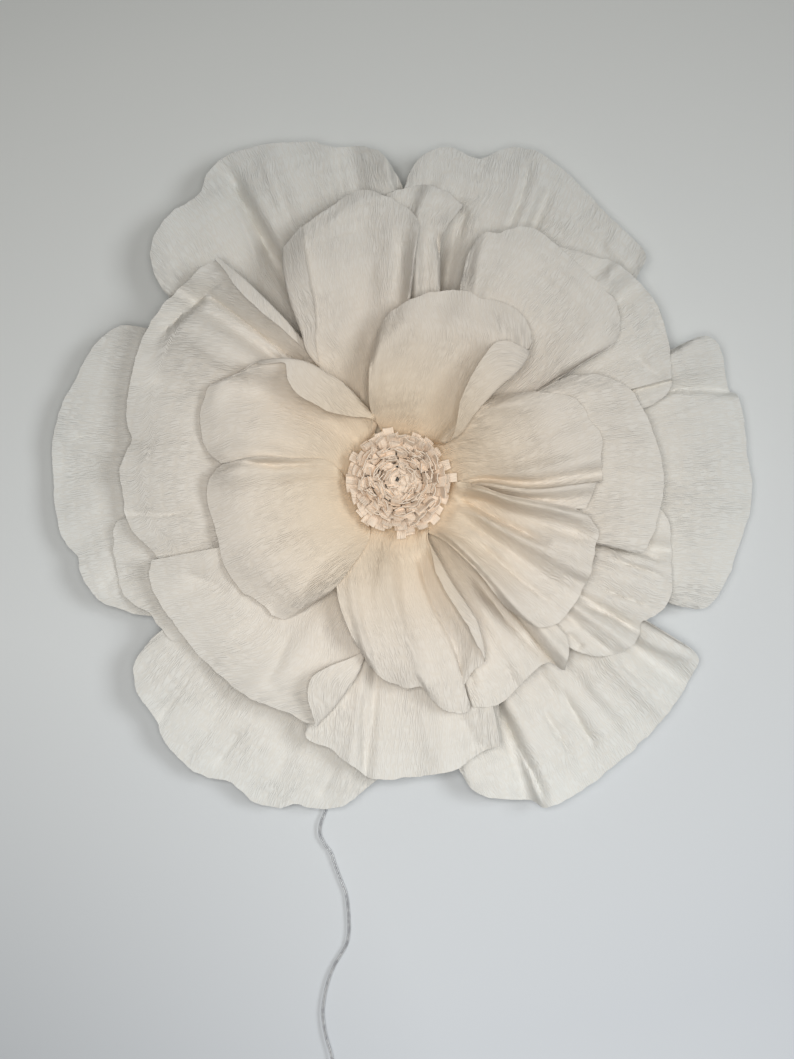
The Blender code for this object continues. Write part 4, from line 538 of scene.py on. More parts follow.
def cubic_weights(count, places):
    """Catmull-Rom weights that carry count evenly spaced values to places from 0 to 1."""
    x = places * (count - 1)
    base = np.clip(np.floor(x).astype(int), 0, count - 2)
    f = x - base
    weights = np.zeros((len(places), count))
    terms = [(-1, -0.5 * f + f**2 - 0.5 * f**3), (0, 1 - 2.5 * f**2 + 1.5 * f**3),
             (1, 0.5 * f + 2 * f**2 - 1.5 * f**3), (2, 0.5 * f**3 - 0.5 * f**2)]
    for offset, weight in terms:
        np.add.at(weights, (np.arange(len(places)), np.clip(base + offset, 0, count - 1)), weight)
    return weights


def wander(x, seed):
    """A smooth random line: a random value at each whole x, joined by smooth steps, mostly from -1 to 1."""
    table = np.random.default_rng(seed).normal(0.0, 0.55, 4096)
    base = np.floor(x).astype(int)
    f = x - base
    f = f * f * (3 - 2 * f)
    return table[base % 4096] * (1 - f) + table[(base + 1) % 4096] * f


def rumple(x, y, seed):
    """A smooth random sheet: a random value at each whole (x, y), joined by smooth steps both ways."""
    table = np.random.default_rng(seed).normal(0.0, 0.55, (128, 128))
    i, j = np.floor(x).astype(int), np.floor(y).astype(int)
    f, g = x - i, y - j
    f, g = f * f * (3 - 2 * f), g * g * (3 - 2 * g)
    i, j = i % 128, j % 128
    k, m = (i + 1) % 128, (j + 1) % 128
    near = table[i, j] * (1 - f) + table[k, j] * f
    far = table[i, m] * (1 - f) + table[k, m] * f
    return near * (1 - g) + far * g


def crease_height(places, line, depth, width, skew=0.0, fade=(0.25, 0.25), soft=0.25):
    """Height of a crease drawn on the petal: depth at the line, dying away sideways and at both ends."""
    line = np.array(line, float)
    best = np.full(places.shape[:2], 1e9)
    side = np.zeros(places.shape[:2])
    share = np.zeros(places.shape[:2])
    lengths = np.linalg.norm(np.diff(line, axis=0), axis=1)
    passed = np.concatenate([[0.0], np.cumsum(lengths)])
    for k, (a, b) in enumerate(zip(line, line[1:])):
        way = (b - a) / lengths[k]
        along = np.clip((places - a) @ way, 0.0, lengths[k])
        off = places - a - along[..., None] * way
        distance = np.linalg.norm(off, axis=2)
        nearer = distance < best
        turn = way[0] * off[..., 1] - way[1] * off[..., 0]
        best = np.where(nearer, distance, best)
        side = np.where(nearer, np.sign(turn), side)
        share = np.where(nearer, (passed[k] + along) / passed[-1], share)
    width = width * (1.0 + skew * side)
    taper = ease(share, -0.02, fade[0]) * (1.0 - ease(share, 1.0 - fade[1], 1.02))
    away = np.sqrt((best / width) ** 2 + soft**2) - soft
    return depth * np.exp(-away) * taper


def blur(values, reach):
    """Values of a grid averaged with their neighbours, reach cells each way, twice."""
    kernel = np.ones(2 * reach + 1) / (2 * reach + 1)
    for axis in (0, 1, 0, 1):
        padded = np.pad(values, [(reach, reach) if k == axis else (0, 0) for k in range(2)], mode="edge")
        values = np.apply_along_axis(lambda line: np.convolve(line, kernel, "valid"), axis, padded)
    return values


def widened(values, reach):
    """Each value of a grid raised to the largest within reach cells."""
    for axis in (0, 1):
        padded = np.pad(values, [(reach, reach) if k == axis else (0, 0) for k in range(2)], mode="edge")
        size = values.shape[axis]
        moved = [np.take(padded, range(k, k + size), axis=axis) for k in range(2 * reach + 1)]
        values = np.max(moved, axis=0)
    return values


def turned_over(sheet, roll, turn, stations, share, last):
    """One column of an edge turned over to the front.

    The paper past the edge first rolls round a circle of the roll's radius through its turn, and then
    runs straight back over the petal. share is how far across the flap the column lies.
    """
    edge, inner = (sheet[:, -1], sheet[:, -3]) if last else (sheet[:, 0], sheet[:, 2])
    flat = edge[:, :2] - inner[:, :2]
    outward = flat / np.maximum(np.linalg.norm(flat, axis=1, keepdims=True), 1e-6)
    outward = np.column_stack([blur(outward[:, k:k + 1], 4)[:, 0] for k in range(2)])
    outward /= np.linalg.norm(outward, axis=1, keepdims=True)
    stations = np.array(stations, float)
    t = np.linspace(0.0, 1.0, len(edge))
    width = np.interp(t, stations[:, 0], stations[:, 1])
    width = blur(width[:, None], 3)[:, 0] + HOOK_WAVER * wander(t * HOOK_WAVES, HOOK_SEED) * (width > 4)
    width[0] = HOOK_LEAST_WIDTH
    reach = share * np.maximum(width, HOOK_LEAST_WIDTH)
    turn = math.radians(turn)
    angle = np.minimum(reach / roll, turn)
    past = np.maximum(reach - roll * turn, 0.0)
    out = roll * np.sin(angle) + past * math.cos(turn)
    lift = roll * (1.0 - np.cos(angle)) + past * math.sin(turn)
    start = ease(t, 0.0, 0.08)
    out = reach * (1 - start) + out * start
    return np.column_stack([edge[:, :2] + outward * out[:, None], edge[:, 2] + lift * start])


def with_hooks(sheet, tab_row, hooks):
    """The sheet and its tab row with the columns of each turned-over edge added."""
    for side, roll, turn, stations in hooks:
        last = side == "after"
        tab_edge, tab_inner = (tab_row[-1], tab_row[-2]) if last else (tab_row[0], tab_row[1])
        flat = (tab_edge - tab_inner) / np.linalg.norm(tab_edge - tab_inner)
        base = sheet
        for step in range(1, HOOK_STEPS + 1):
            share = step / HOOK_STEPS
            column = turned_over(base, roll, turn, stations, share, last)[:, None]
            corner = (tab_edge + flat * HOOK_LEAST_WIDTH * share)[None]
            sheet = np.concatenate([sheet, column] if last else [column, sheet], axis=1)
            tab_row = np.concatenate([tab_row, corner] if last else [corner, tab_row], axis=0)
    return sheet, tab_row


def fine_petal(petal, lift, pile, settings, number):
    """The finished petal as a grid of (x, z, height), tab row first.

    Its height is the coarse petal's, plus the crepe's slow rumpling, its ridges, a ruffle that grows
    towards the rim, and the creases drawn on it. Where it would still cut the pile, it is eased forward.
    """
    rim_length = np.linalg.norm(np.diff(np.array(petal["rim"], float), axis=0), axis=1).sum()
    across = int(np.clip(rim_length * MM / settings.cell, 40, 136))
    along = settings.rows
    seen = patch(petal, across, along, petal["layer"].paper_half)
    t, s = np.meshgrid(np.linspace(0, 1, along + 1), np.linspace(0, 1, across + 1), indexing="ij")
    u = (s - 0.5) * rim_length * (0.35 + 0.65 * t)
    v = t * PETAL_LENGTH
    seed = PETAL_SEED + SEEDS_APART * number
    rim_side = ease(t, 0.86, 1.0)
    outward = seen - seen.mean(axis=(0, 1))
    outward /= np.maximum(np.linalg.norm(outward, axis=2, keepdims=True), 1e-6)
    edge = rim_side * sum(tall * wander(u / wide, seed + k) for k, (tall, wide) in enumerate(RAGGED_RIM))
    seen = seen + outward * edge[..., None]
    height = form(petal, s, t)
    height += cubic_weights(COARSE_ALONG + 1, t[:, 0]) @ lift @ cubic_weights(COARSE_ACROSS + 1, s[0]).T
    free = ease(t, 0.04, 0.35)
    for k, (tall, wide, long) in enumerate(RUMPLES):
        height += free * tall * rumple(u / wide + 50, v / long, seed + 2 + k)
    wide, long = RIPPLE_SIZE
    height += ease(t, 0.02, 0.2) * settings.ripple / MM * rumple(u / wide + 500, v / long, seed + 4)
    tall, wide = RUFFLE
    height += ease(t, 0.75, 1.0) * tall * wander(u / wide, seed + 5)
    for crease in petal["creases"]:
        height += crease_height(seen, *crease) * ease(t, 0.02, 0.15)
    for _ in range(FINE_ROUNDS):
        real = seen_to_real(seen, height, t)
        slope = np.hypot(*np.gradient(height, PETAL_LENGTH / along, rim_length / across))
        half = PAPER / 2 * np.sqrt(1 + np.minimum(slope, 4.0) ** 2)
        under = pile.top[pile.cells(real.reshape(-1, 2))].reshape(height.shape)
        lack = np.maximum(under + LAY_GAP + half - height, 0.0)
        lack[0] = 0.0
        if lack.max() < 0.05:
            break
        height += np.maximum(blur(widened(lack, 3), 3), lack) * ease(t, 0.0, 0.04)
    real = seen_to_real(seen, height, t)
    sheet = np.concatenate([real, height[..., None]], axis=2)
    layer = petal["layer"]
    low, high = neck_corners(petal, layer.tab_inner, layer.inner_half)
    tab_row = np.column_stack([low + (high - low) * s[0][:, None], np.full(across + 1, layer.level)])
    sheet, tab_row = with_hooks(sheet, tab_row, petal["hooks"])
    pile.add(sheet.reshape(-1, 3), grid_faces(*sheet.shape[:2]), 2)
    return np.concatenate([tab_row[None], sheet])


def paper_coordinates(sheet):
    """Where each point lies in the flat paper, in metres: along its row, and out from the disc.

    Rows are measured from their middle, and drawn a little towards one width, because crepe spreads as it
    is stretched to the rim.
    """
    steps = np.linalg.norm(np.diff(sheet, axis=1), axis=2)
    u = np.concatenate([np.zeros((len(sheet), 1)), np.cumsum(steps, axis=1)], axis=1)
    width = u[:, -1:].copy()
    u = (u - width / 2) * (width.max() / np.maximum(width, 1e-6)) ** 0.3
    rises = np.linalg.norm(np.diff(sheet, axis=0), axis=2)
    v = np.concatenate([np.zeros((1, sheet.shape[1])), np.cumsum(rises, axis=0)])
    return np.stack([u, v], axis=2) * MM


def closed_sheet(grid, thickness):
    """Points and quads of a closed thin solid round a grid of middle points."""
    rows, columns = grid.shape[:2]
    points = grid.reshape(-1, 3)
    index = np.arange(rows * columns).reshape(rows, columns)
    down = np.gradient(grid, axis=0)
    side = np.gradient(grid, axis=1)
    normal = np.cross(side, down).reshape(-1, 3)
    normal /= np.maximum(np.linalg.norm(normal, axis=1, keepdims=True), 1e-9)
    solid = np.vstack([points + normal * thickness / 2, points - normal * thickness / 2])
    a, b, c, d = (part.ravel() for part in (index[:-1, :-1], index[:-1, 1:], index[1:, 1:], index[1:, :-1]))
    front = np.stack([a, b, c, d], axis=1)
    behind = rows * columns
    loop = np.concatenate([index[0], index[1:, -1], index[-1, -2::-1], index[-2:0:-1, 0]])
    after = np.roll(loop, -1)
    walls = np.stack([after, loop, loop + behind, after + behind], axis=1)
    return solid, np.vstack([front, front[:, ::-1] + behind, walls])


def add_mesh(name, points, quads, uv=None, smooth=True):
    """A mesh object from (x, z, height) points in millimetres and quads, with paper coordinates if given."""
    world = np.column_stack([points[:, 0], -points[:, 2], points[:, 1]]) * MM
    mesh = bpy.data.meshes.new(name)
    mesh.vertices.add(len(world))
    mesh.vertices.foreach_set("co", world.ravel())
    mesh.loops.add(quads.size)
    mesh.loops.foreach_set("vertex_index", quads.ravel().astype(np.int32))
    mesh.polygons.add(len(quads))
    mesh.polygons.foreach_set("loop_start", np.arange(0, quads.size, 4, dtype=np.int32))
    mesh.update(calc_edges=True)
    mesh.polygons.foreach_set("use_smooth", np.full(len(quads), smooth))
    if uv is not None:
        layer = mesh.uv_layers.new(name="paper")
        layer.data.foreach_set("uv", uv[quads.ravel()].ravel())
    mesh.validate()
    mesh.set_sharp_from_angle(angle=math.radians(60.0))
    piece = bpy.data.objects.new(name, mesh)
    bpy.context.scene.collection.objects.link(piece)
    return piece


class Shader:
    """A Principled material and short ways to add nodes to it."""

    def __init__(self, name, colour=(0.8, 0.8, 0.8), roughness=0.8, metallic=0.0):
        self.material = bpy.data.materials.new(name)
        self.material.use_nodes = True
        self.nodes = self.material.node_tree.nodes
        self.links = self.material.node_tree.links
        self.surface = self.nodes["Principled BSDF"]
        self.set("Base Color", (*colour, 1.0))
        self.set("Roughness", roughness)
        self.set("Metallic", metallic)

    def set(self, socket, value):
        self.surface.inputs[socket].default_value = value

    def node(self, kind, inputs=None, **options):
        """A new node with its options set, and its inputs linked or given values."""
        made = self.nodes.new(kind)
        for option, value in options.items():
            setattr(made, option, value)
        for socket, value in (inputs or {}).items():
            if isinstance(value, bpy.types.NodeSocket):
                self.links.new(value, made.inputs[socket])
            else:
                made.inputs[socket].default_value = value
        return made

    def join(self, output, socket):
        self.links.new(output, self.surface.inputs[socket])

    def noise(self, scale, source="Object", detail=2.0, roughness=0.5):
        """Noise over the object or paper coordinates, scaled by one number or three."""
        scale = scale if isinstance(scale, tuple) else (scale, scale, scale)
        coordinates = self.node("ShaderNodeTexCoord").outputs[source]
        place = self.node("ShaderNodeMapping", {"Vector": coordinates, "Scale": scale}).outputs["Vector"]
        made = self.node("ShaderNodeTexNoise",
                         {"Vector": place, "Scale": 1.0, "Detail": detail, "Roughness": roughness})
        return made.outputs["Fac"]

    def maths(self, operation, first, second=0.0):
        return self.node("ShaderNodeMath", {0: first, 1: second}, operation=operation).outputs[0]

    def remap(self, value, low, high, to_low=0.0, to_high=1.0):
        """The value carried from one range to another, and held at its ends."""
        ends = {"From Min": low, "From Max": high, "To Min": to_low, "To Max": to_high}
        return self.node("ShaderNodeMapRange", {"Value": value, **ends}).outputs[0]

    def vector_maths(self, operation, first, second=(0.0, 0.0, 0.0)):
        return self.node("ShaderNodeVectorMath", {0: first, 1: second}, operation=operation).outputs

    def ramp(self, factor, stops):
        """A colour ramp through (place, colour) stops."""
        made = self.node("ShaderNodeValToRGB", {"Fac": factor})
        elements = made.color_ramp.elements
        while len(elements) < len(stops):
            elements.new(0.5)
        for element, (place, colour) in zip(elements, stops):
            element.position = place
            element.color = (*colour, 1.0)
        return made.outputs["Color"]

    def mix(self, factor, first, second):
        """The first colour, an output, mixed with the second, a constant."""
        inputs = {0: factor, 6: first, 7: (*second, 1.0)}
        return self.node("ShaderNodeMix", inputs, data_type="RGBA").outputs[2]

    def bump(self, height, distance, strength=1.0):
        """Turns the surface by a height, whose full span is the distance in metres."""
        inputs = {"Height": height, "Distance": distance, "Strength": strength}
        self.join(self.node("ShaderNodeBump", inputs).outputs["Normal"], "Normal")


def crepe_material(settings, name, tints):
    """Crepe paper: fine ridges along the grain, faint mottling, and the paper's tone warmed by painted bounce
    light towards the flower's middle.
    """
    shader = Shader(name, roughness=0.85)
    places = shader.node("ShaderNodeTexCoord").outputs["Object"]
    flat = shader.vector_maths("MULTIPLY", places, (1.0, 0.0, 1.0))[0]
    radius = shader.vector_maths("LENGTH", flat)["Value"]
    share = shader.remap(radius, 0.03, 0.34)
    warm, cream, pale = ([float(c) for c in tint] for tint in tints)
    # Painted light: the warm end of this ramp is painted warm bounce light between the petals, laid over the
    # paper's own tone; it fades to the paper's pale tone at the rims.
    colour = shader.ramp(share, [(0.0, warm), (0.42, cream), (1.0, pale)])
    mottle = shader.noise(22.0, detail=3.0)
    colour = shader.mix(shader.maths("MULTIPLY", mottle, 0.10), colour, [c * 0.8 for c in cream])
    pitch = 1.0 / settings.ridge_pitch
    grain = shader.noise((pitch, pitch / 6.0, 1.0), "UV", detail=0.5)
    fold = shader.maths("ABSOLUTE", shader.maths("SUBTRACT", grain, 0.5))
    # Painted shade: the grooves between the crepe ridges are darkened towards a dim warm tone; the same
    # ridges also turn the surface by bump.
    groove_shade = shader.remap(fold, 0.0, 0.10, 0.16, 0.0)
    colour = shader.mix(groove_shade, colour, [c * 0.72 for c in warm])
    shader.join(colour, "Base Color")
    patchy = shader.remap(mottle, 0.35, 0.65, 0.5, 1.4)
    height = shader.maths("MULTIPLY", shader.maths("MINIMUM", fold, 0.16), patchy)
    shader.bump(height, settings.ridge_height)
    shader.set("Sheen Weight", 0.06)
    shader.set("Specular IOR Level", 0.2)
    return shader.material


def build_petals(settings):
    """Lays the coarse petals over each other first, then makes each fine one from them."""
    tints = (settings.inner_paper_and_bounce_colour, settings.middle_paper_and_bounce_colour, settings.outer_colour)
    material = crepe_material(settings, "crepe_paper", tints)
    coarse_pile, fine_pile = Pile(), Pile()
    lifts = [coarse_lay(petal, coarse_pile) for petal in PETALS]
    for number, (petal, lift) in enumerate(zip(PETALS, lifts)):
        grid = fine_petal(petal, lift, fine_pile, settings, number)
        points, quads = closed_sheet(grid, settings.thickness / MM)
        uv = paper_coordinates(grid).reshape(-1, 2) + 0.37 * number
        piece = add_mesh(petal["name"] + "_paper", points, quads, np.vstack([uv, uv]))
        piece.data.materials.append(material)
        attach(piece, "root")
        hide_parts(petal["name"])


# The roll of fringed paper at the centre, wound as a spiral
ROLL_INNER_RADIUS = 4.0
ROLL_OUTER_RADIUS = 39.0
ROLL_TURNS = 8.5
ROLL_BAND = 13.0
ROLL_THICKNESS = 1.5
ROLL_POINTS = 520
TAB_WIDTH = 10.0
SLIT_WIDTH = 0.7
TAB_RADII = [4.0, 10.0, 17.0, 24.0, 29.0, 34.0, 39.0]
TAB_LEANS = [-20.0, -12.0, 2.0, 14.0, 22.0, 28.0, 34.0]
TAB_FOLDED_SHARE = 0.46
TAB_FOLD = -52.0
FOOT_RISE = 6.0
TAB_LENGTHS = [9.0, 12.0, 13.5, 15.0, 16.5, 17.5, 18.0]
TAB_LAYERS = 3
TAB_LAYER_GAP = 1.3
TAB_SHIFT = 0.4

# How unlike the tabs are: the least and the most, or the mean and the spread, of what is drawn for each
TAB_SEED = 5
TAB_FOLDED_SEED = 3
TAB_FOLDED_RADII = (7.0, 25.0)
TAB_LENGTH_SHARE = (0.8, 1.1)
TAB_WIDTH_SHARE = (0.86, 1.06)
TAB_SPLAY = (0.5, 1.6)
TAB_LEAN_CHANGE = (0.0, 16.0)
TAB_DROOP = 8.0
TAB_BEND = (6.0, 10.0)
TAB_MIDDLE_TWIST = 24.0
TAB_RIM_TWIST = 12.0
TAB_SKEW = (0.0, 1.4)
TAB_BOW = (0.0, 0.6)
TAB_RIM_BOW = 0.3


def spiral_radius(angle):
    """How far out the spiral is after an angle in radians."""
    return ROLL_INNER_RADIUS + (ROLL_OUTER_RADIUS - ROLL_INNER_RADIUS) / ROLL_TURNS * angle / (2 * math.pi)


def foot_height(radius):
    """How high the uncut foot stands: lower towards the rim, where the tabs are cut deeper."""
    return ROLL_BAND + FOOT_RISE * (1 - ease(radius, 26.0, 37.0))


def tab_stations():
    """The angles at which each tab starts and ends, wound out along the spiral."""
    last, starts, angle = 2 * math.pi * ROLL_TURNS, [], 0.0
    while angle + TAB_WIDTH / spiral_radius(angle) <= last:
        end = angle + TAB_WIDTH / spiral_radius(angle)
        starts.append((angle, end))
        angle = end + SLIT_WIDTH / spiral_radius(end)
    return np.array(starts)


def band_grid(seat, last):
    """The uncut foot of the strip: two rows of points along the spiral."""
    angle = np.linspace(0.0, last, ROLL_POINTS)
    radius = spiral_radius(angle)
    place = np.stack([radius * np.sin(angle), radius * np.cos(angle)], axis=1)
    heights = (np.full(len(angle), seat), seat + foot_height(radius))
    rows = [np.column_stack([place, height]) for height in heights]
    return np.stack(rows)


def tab_grids(seat, layer_offset, seed):
    """Each tab as a grid of middle points: it leans and bends away from the foot, and twists a little.

    Near the rim the middle layer's tabs are shifted along from the others. Along the tab, the lean at each
    step turns into reach outwards (its sine) and rise (its cosine), summed up step by step; across the tab,
    points run square to that line, turned by the twist and bowed.
    """
    chance = np.random.default_rng(seed)
    stations = tab_stations()
    middle = stations.mean(axis=1)
    rim = ease(spiral_radius(middle), 26.0, 38.0)
    middle += TAB_SHIFT * rim * (1 - abs(layer_offset)) * (TAB_WIDTH + SLIT_WIDTH) / spiral_radius(middle)
    count, rows, columns = len(middle), 7, 5
    radius = spiral_radius(middle)
    foot_top = foot_height(radius)
    length = np.interp(radius, TAB_RADII, TAB_LENGTHS) + ROLL_BAND - foot_top
    length = length * chance.uniform(*TAB_LENGTH_SHARE, count) + 1
    folded = np.random.default_rng(TAB_FOLDED_SEED).random(count) < TAB_FOLDED_SHARE
    folded = folded & (radius > TAB_FOLDED_RADII[0]) & (radius < TAB_FOLDED_RADII[1])
    lean = np.interp(radius, TAB_RADII, TAB_LEANS) + TAB_FOLD * folded
    lean = lean + chance.normal(*TAB_LEAN_CHANGE, count)
    lean = np.radians(lean - TAB_DROOP * rim * np.cos(middle))
    bend = np.radians(chance.normal(*TAB_BEND, count)) * np.sign(lean + 1e-6)
    twist = np.radians(chance.normal(0, TAB_MIDDLE_TWIST - (TAB_MIDDLE_TWIST - TAB_RIM_TWIST) * rim, count))
    skew = chance.normal(*TAB_SKEW, count)
    bow = chance.normal(*TAB_BOW, count) + TAB_RIM_BOW * rim
    width = TAB_WIDTH * chance.uniform(*TAB_WIDTH_SHARE, count)
    spread = layer_offset * chance.uniform(*TAB_SPLAY, count)
    b = np.linspace(0.0, 1.0, rows)[None, :]
    a = np.linspace(-0.5, 0.5, columns)[None, None, :]
    angle = lean[:, None] * (0.45 + 1.0 * b) + bend[:, None] * b * 1.5 + np.radians(spread)[:, None] * 5 * b
    step = (length / (rows - 1))[:, None]
    reach = np.cumsum(np.sin(angle) * step, axis=1) - np.sin(angle[:, :1]) * step
    rise = np.cumsum(np.cos(angle) * step, axis=1) - np.cos(angle[:, :1]) * step
    outward = np.stack([np.sin(middle), np.cos(middle), np.zeros(count)], axis=1)
    around = np.stack([np.cos(middle), -np.sin(middle), np.zeros(count)], axis=1)
    up = np.array([0.0, 0.0, 1.0])
    foot = radius + layer_offset * TAB_LAYER_GAP
    height = seat + foot_top[:, None] - 1.0 + rise
    line = (foot[:, None] + reach)[..., None] * outward[:, None] + height[..., None] * up
    face = np.cos(angle)[..., None] * outward[:, None] - np.sin(angle)[..., None] * up
    turn = (twist[:, None] * b)[..., None]
    across = np.cos(turn) * around[:, None] + np.sin(turn) * face
    square = np.cos(turn) * face - np.sin(turn) * around[:, None]
    half = (width[:, None, None] * a)[..., None]
    bowed = (bow[:, None, None] * (1 - 4 * a**2) * (0.4 + b[..., None]))[..., None]
    slid = (skew[:, None] * b)[..., None, None] * around[:, None, None]
    return line[:, :, None] + across[:, :, None] * half + square[:, :, None] * bowed + slid


def build_centre(settings):
    """The fringed roll: one strip as its foot, and three layers of paper in every tab."""
    seat = -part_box("fringed_centre")[1].y / MM
    thickness = settings.tab_thickness / MM
    points, quads = closed_sheet(band_grid(seat, tab_stations()[-1, 1]), ROLL_THICKNESS)
    solids, faces, uvs = [points], [quads], [points[:, :2] * MM]
    start = len(points)
    for layer in range(TAB_LAYERS):
        for grid in tab_grids(seat, layer - (TAB_LAYERS - 1) / 2, TAB_SEED + layer):
            points, quads = closed_sheet(grid[:, ::-1], thickness)
            solids.append(points)
            faces.append(quads + start)
            uv = paper_coordinates(grid).reshape(-1, 2) + 0.013 * len(solids)
            uvs.append(np.vstack([uv, uv]))
            start += len(points)
    piece = add_mesh("fringed_centre_paper", np.vstack(solids), np.vstack(faces), np.vstack(uvs))
    piece.data.materials.append(crepe_material(settings, "centre_paper", [settings.centre_colour] * 3))
    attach(piece, "root")
    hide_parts("fringed_centre")


# The lead: its route as (x, z, height) from the sleeve, its coil, and its tail to the plug
CORD_DIAMETER = 3.0
COIL_CENTRE = (-46.0, -620.0)
COIL_MEAN_RADIUS = 17.0
COIL_ROWS = 3
COIL_LEVELS = 4
COIL_WALL_GAP = 2.0
COIL_OUTSIDE = 23.35
COIL_EASE = 0.12
COIL_TURN_POINTS = 40
ROUTE_POINTS = 260
TAIL_POINTS = 28
LEAD_FREE = (520.0, 560.0)
TWIST_SWAY = 0.7
TWIST_EVERY = 90.0
TWIST_SEED = 3
TWIST_REST = 0.2
CORD_ROUTE = [
    (7.16, -102.4, 10.3), (7.7, -111.0, 10.0), (7.2, -122.0, 7.4), (3.0, -140.0, 3.8),
    (-8.0, -165.0, 3.0), (-24.0, -198.0, 3.0), (-42.0, -238.0, 3.4), (-57.0, -278.0, 4.2),
    (-67.0, -308.0, 5.0), (-72.4, -328.0, 5.4), (-76.0, -337.0, 5.4), (-78.0, -346.0, 5.2),
    (-77.0, -353.5, 5.0), (-72.4, -362.0, 4.6), (-67.0, -369.5, 4.4), (-62.6, -382.0, 4.2),
    (-57.3, -396.0, 4.0), (-52.0, -410.0, 4.0), (-50.0, -423.0, 4.0), (-49.0, -437.0, 4.0),
    (-49.0, -449.0, 4.0), (-51.0, -460.0, 4.0), (-55.5, -469.0, 4.0), (-62.0, -479.5, 4.2),
    (-67.0, -490.0, 4.4), (-70.6, -501.0, 4.6), (-73.3, -513.0, 4.8), (-75.0, -527.5, 5.0),
    (-74.2, -540.0, 5.2), (-71.5, -554.0, 5.4), (-67.4, -568.0, 5.6), (-65.3, -578.0, 5.8),
    (-64.6, -588.0, 5.8), (-66.0, -600.0, 5.4), (-68.85, -615.1, 4.6),
]
TAIL_ROUTE = [(-65.1, -633.4, 12.0), (-60.5, -640.5, 11.2), (-55.0, -648.0, 9.6), (-50.2, -656.0, 8.0),
              (-47.2, -664.5, 6.8), (-46.1, -673.0, 6.2), (-46.0, -680.0, 6.0)]


def coil_points():
    """The coil's turns: level by level away from the wall, each turn one strand further in or out.

    The angle runs on steadily; radius and height hold for most of a turn and ease to the next turn's.
    """
    rows = [row if level % 2 == 0 else COIL_ROWS - 1 - row
            for level in range(COIL_LEVELS) for row in range(COIL_ROWS)]
    outer = COIL_MEAN_RADIUS + (COIL_ROWS - 1) / 2 * CORD_DIAMETER
    radii = [COIL_OUTSIDE, *[outer - CORD_DIAMETER * row for row in rows], COIL_OUTSIDE]
    first = COIL_WALL_GAP + CORD_DIAMETER / 2
    levels = [first + CORD_DIAMETER * (k // COIL_ROWS) for k in range(len(rows))]
    heights = [CORD_ROUTE[-1][2], *levels, TAIL_ROUTE[0][2]]
    start = math.atan2(CORD_ROUTE[-1][1] - COIL_CENTRE[1], CORD_ROUTE[-1][0] - COIL_CENTRE[0])
    end = math.atan2(TAIL_ROUTE[0][1] - COIL_CENTRE[1], TAIL_ROUTE[0][0] - COIL_CENTRE[0]) + 2 * math.pi
    turns = len(rows) + (end - start) / (2 * math.pi)
    place = np.linspace(0.0, turns, int(turns * COIL_TURN_POINTS))
    edges = np.array([COIL_EASE, *range(1, len(rows)), turns - COIL_EASE])
    radius = np.full(len(place), radii[0])
    height = np.full(len(place), heights[0])
    for k, edge in enumerate(edges):
        step = ease(place, edge - COIL_EASE, edge + COIL_EASE)
        radius = radius + (radii[k + 1] - radii[k]) * step
        height = height + (heights[k + 1] - heights[k]) * step
    angle = start + 2 * math.pi * place
    x, z = COIL_CENTRE[0] + radius * np.cos(angle), COIL_CENTRE[1] + radius * np.sin(angle)
    return np.stack([x, z, height], axis=1)


def cord_path():
    """The whole lead's middle line: its hanging route, its coil and its tail."""
    route = through(CORD_ROUTE, ROUTE_POINTS)
    tail = through(TAIL_ROUTE, TAIL_POINTS)
    return np.vstack([route, coil_points()[1:-1], tail])


def twin_core(path, core_radius, sides=12):
    """Two thin round cores side by side along the path, turning a little from side to side.

    Each core's middle is half a cord's width from the path, at an angle that wavers along it, measured
    from the path's normal in the wall's plane.
    """
    along = np.gradient(path, axis=0)
    along /= np.linalg.norm(along, axis=1, keepdims=True)
    forward = np.array([0.0, 0.0, 1.0])
    side = np.cross(along, forward)
    side /= np.linalg.norm(side, axis=1, keepdims=True)
    front = np.cross(side, along)
    passed = np.concatenate([[0.0], np.cumsum(np.linalg.norm(np.diff(path, axis=0), axis=1))])
    hanging = 1.0 - ease(passed, *LEAD_FREE)
    turn = hanging * TWIST_SWAY * wander(passed / TWIST_EVERY, TWIST_SEED) + TWIST_REST
    ring = 2 * math.pi * np.arange(sides) / sides
    points, faces, start = [], [], 0
    for sign in (-1.0, 1.0):
        centre = path + sign * core_radius * (np.cos(turn)[:, None] * side + np.sin(turn)[:, None] * front)
        tube = (centre[:, None] + core_radius * 0.98 * (np.cos(ring)[None, :, None] * side[:, None]
                                                         + np.sin(ring)[None, :, None] * front[:, None]))
        count = len(path)
        index = start + np.arange(count * sides).reshape(count, sides)
        following = np.roll(index, -1, axis=1)
        faces.append(np.stack([index[:-1], index[1:], following[1:], following[:-1]], axis=2).reshape(-1, 4))
        points.append(tube.reshape(-1, 3))
        start += count * sides
    return np.vstack(points), np.vstack(faces)


def build_cord():
    """The lead from its sleeve to its plug, as two clear cores over dull metal, with painted glints."""
    path = cord_path()
    points, quads = twin_core(path, CORD_DIAMETER / 4)
    piece = add_mesh("twin_lead", points, quads)
    shader = Shader("clear_lead", (0.62, 0.64, 0.66), 0.22)
    # Painted highlight: noise paints lighter glints along the cores over their dull grey.
    painted_glint = shader.noise(160.0, detail=1.0)
    shader.join(shader.ramp(painted_glint, [(0.35, (0.36, 0.37, 0.39)), (0.62, (0.52, 0.53, 0.54))]), "Base Color")
    shader.set("Metallic", 0.1)
    shader.set("Coat Weight", 0.6)
    shader.set("Coat Roughness", 0.12)
    piece.data.materials.append(shader.material)
    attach(piece, "root")
    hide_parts("cord", "cord_coil", "cord_tail")


def finish_nodes(name, nodes, stops, roughness, scale, metallic=0.0, detail=2.0, fineness=0.5, bump=None):
    """Makes a finish with colours along its grain, for the CAD nodes that show as they are."""
    shader = Shader(name, stops[-1][1], roughness, metallic)
    grain = shader.noise(scale, detail=detail, roughness=fineness)
    shader.join(shader.ramp(grain, stops), "Base Color")
    if bump:
        shader.bump(grain, *bump)
    for node in nodes:
        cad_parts[node].data.materials.clear()
        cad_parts[node].data.materials.append(shader.material)


